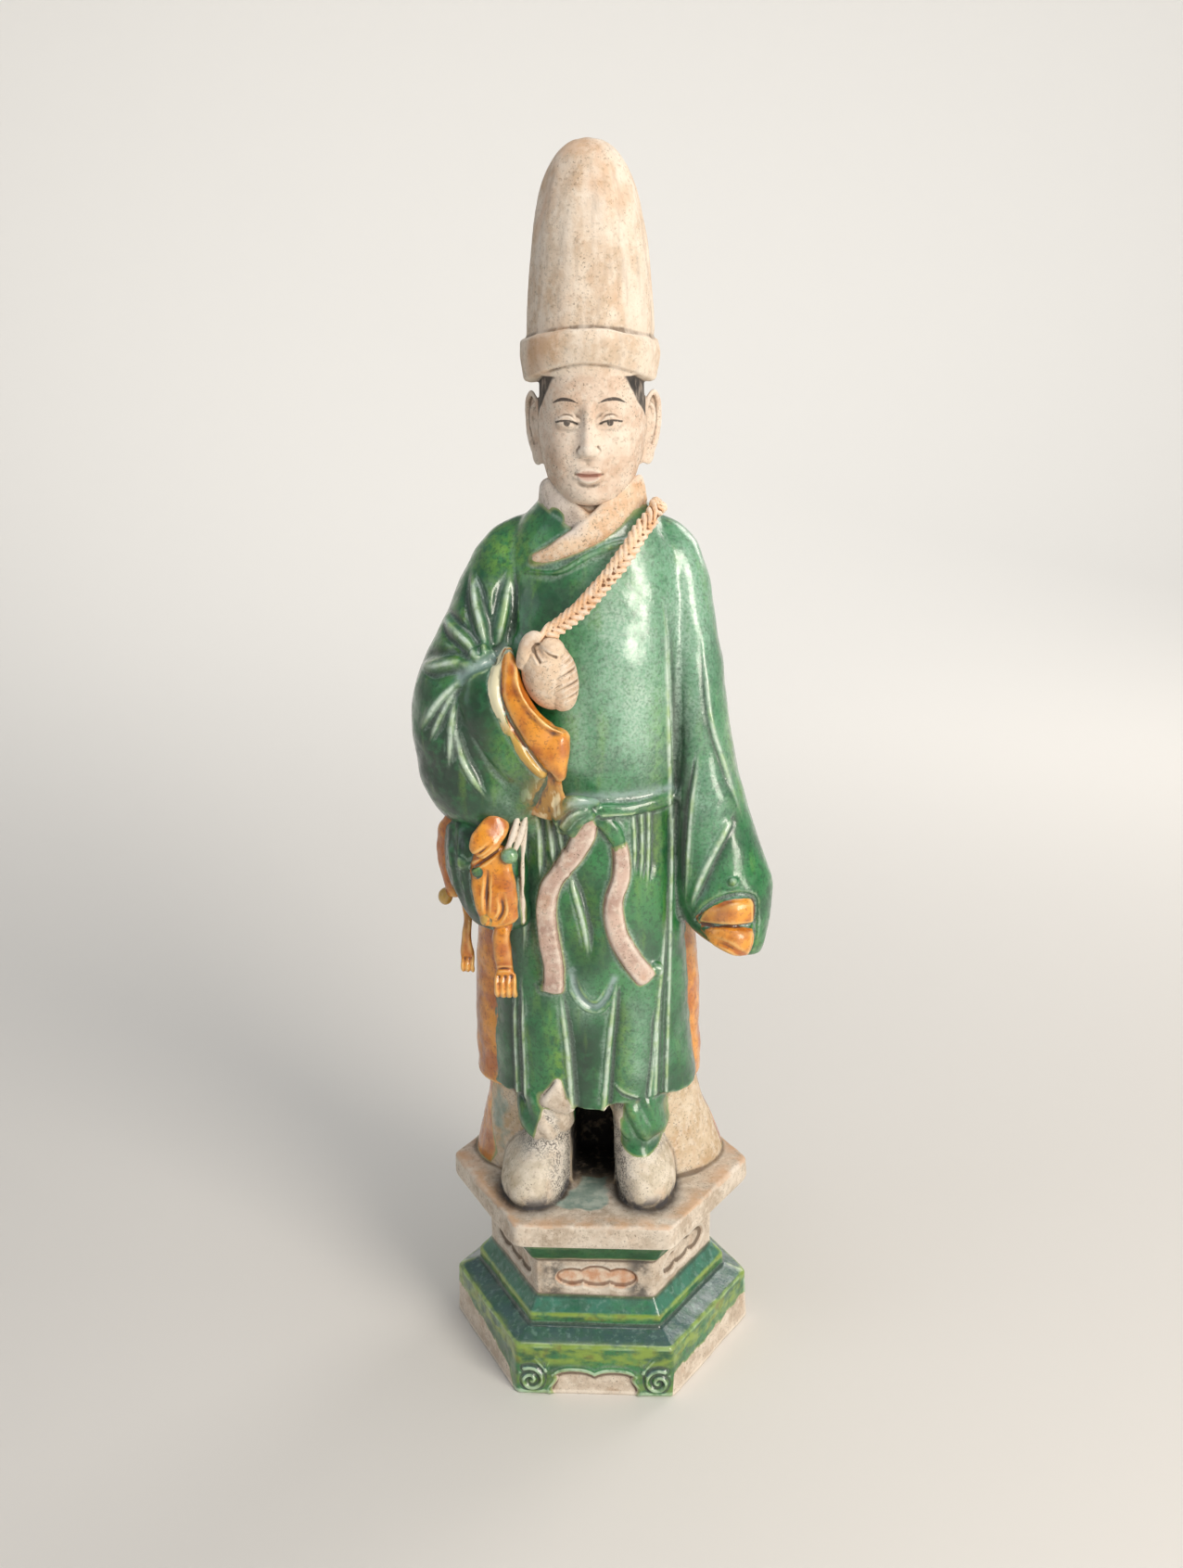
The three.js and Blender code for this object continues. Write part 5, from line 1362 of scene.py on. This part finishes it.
def plait():
    """Pairs of slanted strands from the middle of the cord forward to each side."""
    line = smooth_line(CORD, 500)
    along = np.concatenate([[0], np.cumsum(np.linalg.norm(np.diff(line, axis=0), axis=1))])
    leaves = [strand(CORD, (6.6, 6.8, 7, 7, 7, 6.8, 6.6, 5.6, 5), 4.4, coat_out, 2.4, step=0.8)]
    for step, reach in enumerate(np.arange(0.5, along[-1], CORD_PITCH / 2)):
        k = min(int(np.searchsorted(along, reach)), 496)
        here = line[k]
        ahead = here - line[k + 3]
        ahead /= np.linalg.norm(ahead)
        out = np.array([0.6, -0.5, 0.9]) if here[1] > -24 else coat_out(here[0], here[2]) + np.array([0, 0, 0.35])
        out = out - ahead * (out @ ahead)
        out /= np.linalg.norm(out)
        across = np.cross(out, ahead) * (1 if step % 2 else -1)
        places = LONG_STRAND if step % 2 else SHORT_STRAND
        path = [here + out * 1.9 + across * a + ahead * b + out * c for a, b, c in places]
        leaves.append(strand(path, (1.5, 2.4, 2.4, 1.6), (2.2, 3.0, 3.0, 2.2), tuple(out), 2.1, 12, 0.5))
    return leaves


def fist_forms():
    thumb = strand(
        [(-27.6, -48.6, 277), (-27.4, -52, 284), (-25.8, -53.8, 290), (-22.8, -53.8, 292.6), (-20, -53, 290.5)],
        (9, 7.6, 6.6, 6, 4.6), (9, 8, 7, 6, 5), square=2.2, step=0.7,
    )
    knuckle = ball((-15.6, -51.4, 286.6), (6.2, 6.0, 5.4), 40, tilt=0.3)
    back_of_hand = ball((-17.4, -48.2, 274.6), (12.2, 10.2, 16.6), 72, tilt=-0.2, power=2.05)
    fingers = ball((-11.4, -49.8, 271.8), (8.0, 7.8, 14.4), 64, tilt=-0.12, power=2.1)
    return {"skin": [back_of_hand, fingers, thumb, knuckle], "cord": plait()}


FINGER_GAPS = [
    ([(-12.4, 279), (-8.4, 281.4), (-4.2, 284)], 0.8, 0.5), ([(-13.6, 273.6), (-8.8, 276.2), (-3.2, 278.6)], 0.8, 0.6),
    ([(-13.8, 268), (-8.8, 270.4), (-3, 272.4)], 0.8, 0.6), ([(-12.8, 262.8), (-8.6, 264.8), (-3.6, 266.6)], 0.8, 0.5),
    ([(-17.4, 267), (-13.6, 270), (-11, 271.4)], 0.5, 0.3),
    ([(-23.6, 288.6), (-22.6, 285), (-20.4, 281.6)], 0.8, 0.9), ([(-20.2, 289), (-17, 285.4), (-13, 283.6)], 0.7, 0.6),
]


def fist_relief(points, normals):
    """Fingers parted by shallow cuts, and the unevenness of a hand pressed in a mould."""
    facing = smoothstep(-normals[:, 1], -0.2, 0.3) * (points[:, 2] < 287 + 6 * (points[:, 0] < -20))
    push = 0.16 * wobble(points, 7, 31) + 0.07 * wobble(points, 2.5, 32)
    for line, width, depth in FINGER_GAPS:
        push += gouge(points, facing, line, width, depth, 0.25, (0.1, 0.7, 1, 1))
    return push


fist = clay_piece(
    "fist_and_plaited_cord", "attendant_body", fist_forms(),
    grain=0.42, triangles=90000, relief=fist_relief, marks={"cord_mm": ["cord"]},
)

# Clay that was never glazed: matt and peach-coloured, with dirt and painted shade in the furrows of the plait.
peach_clay, tree = new_material("bare_peach_clay")
at = node(tree, "ShaderNodeTexCoord").outputs["Object"]
plaited = coats(at, bare_clay(at, "efd0ae", "dfae82"), ("crest_mm", -0.01, -0.13, 0.9, "74492a"))
fired_clay(at, coats(at, bare_clay(at, "e4cdb2", "c6a98f"), ("cord_mm", -0.4, 0.2, plaited)), 1.0)
fist.data.materials.append(peach_clay)

# The head with its tall hat: moulded on its own, with a neck that plugs into the collar. It was left bare, dressed
# with a pale slip, and the hair, brows and eyes were painted on cold. The face is a calm, plain one.
CHIN, CROWN, FACE_MIDDLE, FACE_FRONT, BRIM = 347, 419, 1, -29, 399
EYE_LINE = (CHIN + CROWN) / 2
BROW_LINE = CHIN + (CROWN - CHIN) * 0.61
NOSE_BASE = CHIN + (BROW_LINE - CHIN) * 0.5
MOUTH_LINE = CHIN + (NOSE_BASE - CHIN) * 0.62
EYE_WIDTH = 9.4
SKULL = [
    (CHIN - 0.6, -6, 8, -24, -6), (CHIN + 1.5, -11.5, 13.5, -28.5, 2), (CHIN + 5, -15.5, 17.5, -29.6, 9),
    (CHIN + 11, -19.2, 21.2, -29.8, 16), (CHIN + 23, -22.4, 24.4, -29, 24), (EYE_LINE, -23.2, 25.2, -28.4, 26),
    (CROWN - 16, -22.6, 24.6, -28, 27), (CROWN - 6, -22, 24, -27, 27),
]
HAT = [
    (BRIM + 4, -28, 29, -28, 29), (CROWN, -28.4, 29.6, -28, 29), (435, -27.3, 28.9, -27.2, 28.2),
    (450, -25.7, 27.7, -26, 27), (466, -23.5, 25.4, -23.5, 24.5), (482, -20, 21.4, -20, 21),
    (490, -16.9, 18.2, -17.5, 18.4), (495.5, -13.4, 14.6, -14, 14.8), (499, -9.9, 11.1, -10.4, 11.2),
    (501.2, -6.3, 7.5, -6.7, 7.6), (502.3, -2.6, 3.8, -2.9, 3.9), (502.6, -0.4, 1.6, -0.6, 1.6),
]


def skull_form():
    """The skull and face, with the eyes' hollows, the nose, cheeks and chin pressed in its front."""
    points, faces = level_form(SKULL, 2.25, 240, 0.6)
    u, v = np.abs(points[:, 0] - FACE_MIDDLE), points[:, 2]
    front = smoothstep(-points[:, 1], 4, 17)
    out = 0.5 * near(v, BROW_LINE + 1.6, 2.8) * smoothstep(u, 2, 6) * (1 - smoothstep(u, 14, 19))
    # Each swelling or hollow: how far out, its middle across and up, and how wide and high it is.
    for rise, across, up, wide, high in (
        (-1.5, EYE_WIDTH, EYE_LINE + 0.4, 5.8, 4.6), (-1.0, 5.0, EYE_LINE + 2.2, 2.6, 4.4),
        (1.6, 12.5, CHIN + 22, 7, 8.5), (1.3, 0, MOUTH_LINE + 0.6, 8.5, 6.5), (1.7, 0, CHIN + 4.8, 7, 4),
        (-1.1, 0, MOUTH_LINE - 5.2, 6, 1.7), (-0.7, 9.8, MOUTH_LINE + 1.5, 2.4, 5),
        (-0.5, 0, NOSE_BASE - 2.4, 1.1, 2.2),
    ):
        out += rise * near(u, across, wide) * near(v, up, high)
    down = (BROW_LINE - v) / (BROW_LINE - NOSE_BASE)
    bridge = (1.5 + 4.5 * down.clip(0, 1) ** 1.15) * smoothstep(down, -0.25, 0.1) * (1 - smoothstep(down, 0.95, 1.09))
    out += bridge * near(u, 0, 2.7 + 1.7 * down.clip(0, 1))
    points[:, 1] -= front * out
    return points, faces


def across_face(x, z, half, rise=0.0, lift=0.0, corner=0.0):
    """Points across the face, level at their ends, that follow the cheeks round."""
    side = np.linspace(-1, 1, 7)
    px = x + half * side
    away = 7 * (np.abs(px - FACE_MIDDLE) / 20) ** 2.4
    return np.column_stack([px, FACE_FRONT + away - lift, z + rise * (1 - side**2) + corner * side**4])


def feature_forms():
    """The nose's tip and wings, lips, eyeballs and lids."""
    made = [ball((FACE_MIDDLE, FACE_FRONT - 2.9, NOSE_BASE + 3.0), (3.3, 3.1, 2.9), 28)]
    for up, half, rise, corner, width, thick in (
        (1.3, 5.8, 0.8, -0.4, (0.8, 2.4, 2.6, 2.4, 0.8), 3.4),
        (-1.8, 4.8, -0.7, 0.9, (0.8, 2.6, 3.2, 2.6, 0.8), 3.8),
    ):
        lip = across_face(FACE_MIDDLE, MOUTH_LINE + up, half, rise, 1.6, corner)
        made.append(strand(lip, width, thick, square=2.1, step=0.4))
    for side in (-1, 1):
        x = FACE_MIDDLE + side * EYE_WIDTH
        away = 7 * (EYE_WIDTH / 20) ** 2.4
        made.append(ball((FACE_MIDDLE + side * 3.3, FACE_FRONT - 1.3, NOSE_BASE + 1.9), (2.1, 2.9, 1.9), 24))
        made.append(ball((x, FACE_FRONT + away + 4.1, EYE_LINE - 0.1), (5.4, 4.2, 3.2), 32))
        for up, half, rise, lift, thick in ((0.7, 5.6, 1.7, -1.2, 2.2), (-0.8, 5.0, -1.0, -1.4, 1.2)):
            lid = across_face(x, EYE_LINE + up, half, rise, lift)
            lid[:, 2] += 0.4 * side * np.linspace(-1, 1, 7)
            made.append(strand(lid, (0.7, thick, thick, 0.7), 2.0, square=2.1, step=0.4))
    return made


def ear_forms(side):
    """A long-lobed ear: a rim, a bowl behind it and a soft lobe, turned a little to the front."""
    root, turn = (24.2 if side > 0 else -22.2, -2.5), math.radians(54)
    rim = [
        (0.5, 0, 380), (1.5, -1.2, 387), (4, -1.4, 393.5), (8, -1, 396), (11.8, -0.6, 392), (12.4, -0.6, 383),
        (10.4, -0.8, 373), (6.6, -1, 366),
    ]
    inner_rim = [(4.2, -0.6, 391), (7.8, -0.8, 388.5), (8.4, -0.8, 381), (6.2, -0.9, 374.5)]
    forms = [
        strand(rim, (3, 3, 3, 2.8), (3, 3.2, 3, 2.8), (0, -1, 0), 2.2, 16, 0.6),
        strand(inner_rim, (1.6, 2.2, 2), (2, 2.2, 2), (0, -1, 0), 2.2, 12, 0.6),
        ball((6.4, 1.4, 380), (6.4, 1.9, 15.4), 40),
        ball((4.2, 0.4, 365.2), (4.6, 2.5, 5.6), 28),
        ball((-0.4, 1.6, 370), (5.4, 2.6, 9.5), 32),
        ball((0.6, -0.6, 377.5), (1.6, 1.5, 2.6), 20),
    ]
    placed = []
    for points, faces in forms:
        t, n, z = points.T
        x = root[0] + side * (t * math.cos(turn) + n * math.sin(turn) * -0.35)
        y = root[1] + t * math.sin(turn) + n * math.cos(turn)
        placed.append((np.column_stack([x, y, 379 + (z - 379) * 0.9]), faces if side > 0 else [f[::-1] for f in faces]))
    return placed


def hat_forms():
    turns = around(160)
    arch = 9 * np.maximum(0, -np.sin(turns)) ** 2
    corners = [(24, 0.5), (27.4, 0.2), (30, 1.2), (31.9, 12), (31.6, 18.6), (28.4, 20.2), (24, 20)]
    band = [(r, BRIM + rise + arch * (1 - rise / 40)) for r, rise in rounded_profile(corners, 0.7, 0.7)]
    return [loft(turned(band, turns, 1.0, (0.3, 0))), level_form(HAT, 2.0, 160, 1.2)]


# Fine lines cut in the face, from its middle outwards: between the lips, under the lower lip, over the eye.
FACE_CUTS = [
    ([(0, MOUTH_LINE - 0.2), (3, MOUTH_LINE - 0.1), (6.4, MOUTH_LINE + 0.3)], 0.7, 1.0),
    ([(0, MOUTH_LINE - 4.8), (2.5, MOUTH_LINE - 4.5), (4.5, MOUTH_LINE - 3.6)], 1.3, 0.3),
    ([(5.2, EYE_LINE + 1.2), (8, EYE_LINE + 3.4), (11, EYE_LINE + 3.6), (14.2, EYE_LINE + 1.8)], 0.5, 0.5),
    ([(4.3, NOSE_BASE + 4.2), (5.5, NOSE_BASE + 2.2), (4.8, NOSE_BASE + 0.2)], 0.7, 0.4),
]


def head_relief(points, normals):
    """Fine lines of the face, finger marks and dents down the hat, and the fading of its band at one side."""
    x, y, z = points.T
    turn = np.arctan2(x, -y)
    on_hat = smoothstep(z, 408, 424)
    push = 0.14 * wobble(points, 12, 41) + 0.05 * wobble(points, 3, 42)
    mirrored = np.column_stack([np.abs(x - FACE_MIDDLE), y, z])
    for line, width, depth in FACE_CUTS:
        push += gouge(mirrored, smoothstep(-y, 19, 24), line, width, depth, 0.15, (1, 1, 0.5))
    push += on_hat * (1 - smoothstep(z, 478, 496)) * 0.45 * wobble(np.column_stack([turn * 30, z * 0.22, 0 * z]), 9, 43)
    band = near(z, BRIM + 18.5 + 4.5 * np.cos(turn).clip(0) ** 2, 3) * (normals[:, 2] < 0.9)
    return push - 0.8 * band * smoothstep(turn, -0.7, 0.3) * (1 - smoothstep(turn, 1.6, 2.4))


def soft_face(points):
    """The features melt into the face, the eyes less than the rest."""
    u, v = np.abs(points[:, 0] - FACE_MIDDLE), points[:, 2]
    face = smoothstep(-points[:, 1], 18, 24) * smoothstep(v, CHIN - 2, CHIN + 2) * (1 - smoothstep(v, BRIM - 4, BRIM))
    return face * (1 - 0.8 * near(u, EYE_WIDTH, 6.5) * near(v, EYE_LINE, 3.4))


def neck_form():
    """The plug that stands in the collar's seat, level below."""
    (x, y), r = NECK_MIDDLE, NECK_RADIUS
    return level_form([(z, x - r, x + r, y - r, y + r) for z in (CHIN - 15, CHIN - 5, CHIN + 20)], 2.0, 96)


head = clay_piece(
    "head_with_tall_hat", "head_with_hat",
    {
        "skin": [skull_form(), neck_form(), *feature_forms()],
        "ears": [*ear_forms(-1), *ear_forms(1)],
        "hat": hat_forms(),
    },
    grain=0.5, triangles=190000, relief=head_relief, soften=soft_face, marks={"hat_mm": ["hat"], "ear_mm": ["ears"]},
)
points, _, _ = read_mesh(head.data, SLAB_TOP)
u, v = np.abs(points[:, 0] - FACE_MIDDLE), points[:, 2]
hairline = np.interp(v, [340, 352, 366, 380, 387, 391, 397, 404], [10, 9, 8, 5, -9, -15, -19.5, -23])
# Brow, lashes and the line between the lips, as heights over a line of the face, from its middle outwards.
(brow_gap, brow_share, _), (lash_gap, _, _), (mouth_gap, _, _) = (
    distance_to_line(smooth_line([(across, line + up) for across, up in places]), u, v)
    for line, places in (
        (BROW_LINE, [(4.4, 0.6), (8, 2.0), (12.5, 2.2), (17, 0.2)]),
        (EYE_LINE, [(5.2, -0.2), (7.4, 0.7), (10, 1.1), (12.6, 0.9), (14.6, 0.4)]),
        (MOUTH_LINE, [(0, -0.2), (3, -0.1), (5.6, 0.1)]),
    )
)
painted = np.maximum(0.8 * np.sin(np.pi * brow_share.clip(0.08, 0.95)) ** 0.8 - brow_gap, 0.5 - lash_gap)
iris = np.minimum(1.5 - np.hypot(u - EYE_WIDTH - 0.2, v - EYE_LINE - 0.1), EYE_LINE + 1.3 - v)
forward = points[:, 1] < -14
mark(
    head.data, hair_mm=np.where(v < BRIM + 12, points[:, 1] - hairline, -20),
    ink_mm=np.where(forward, np.maximum(painted, iris), -5),
    lip_mm=np.where(forward, 2.7 * (1 - (u / 6.6) ** 2) - mouth_gap, -5),
)

# Slip worn pink and cream on the face, buff and streaked on the hat, with the black paint mostly rubbed away.
worn_slip, tree = new_material("worn_slip_over_bare_clay")
at = node(tree, "ShaderNodeTexCoord").outputs["Object"]
streaked = coats(
    at, bare_clay(at, "e5d6c4", "cdb59b", 0.25),
    ((6, 7, 0.14), 0.42, 0.7, 0.6, "ece0d2"),
    ((4, 6, 0.1), 0.52, 0.72, 0.4, "a89a8b"),
    ((19, 7, 0.5), 0.5, 0.74, 0.5, "cf9c6c"),
)
hair = mask(at, "hair_mm", -0.8, 0.8) * mask(at, "ear_mm", 0.4, -0.2) * mask(at, "hat_mm", 0.3, -0.3)
clay = coats(
    at, bare_clay(at, "e6d5c4", "d0b49d", 0.22),
    ("hat_mm", -0.3, 0.3, streaked),
    (hair * mask(at, (2.6, 7, 0.4), 0.34, 0.54, 1.0, 0.7), coats(at, "353231", ((9, 5), 0.4, 0.62, "57504a"))),
    (mask(at, "ink_mm", -0.12, 0.2) * mask(at, (1.2, 4), 0.26, 0.46, 0.9, 0.45), "2e2a28"),
    ("lip_mm", -0.3, 1.2, 0.5, "b8796a"),
)
fired_clay(at, clay, 1.0)
head.data.materials.append(worn_slip)
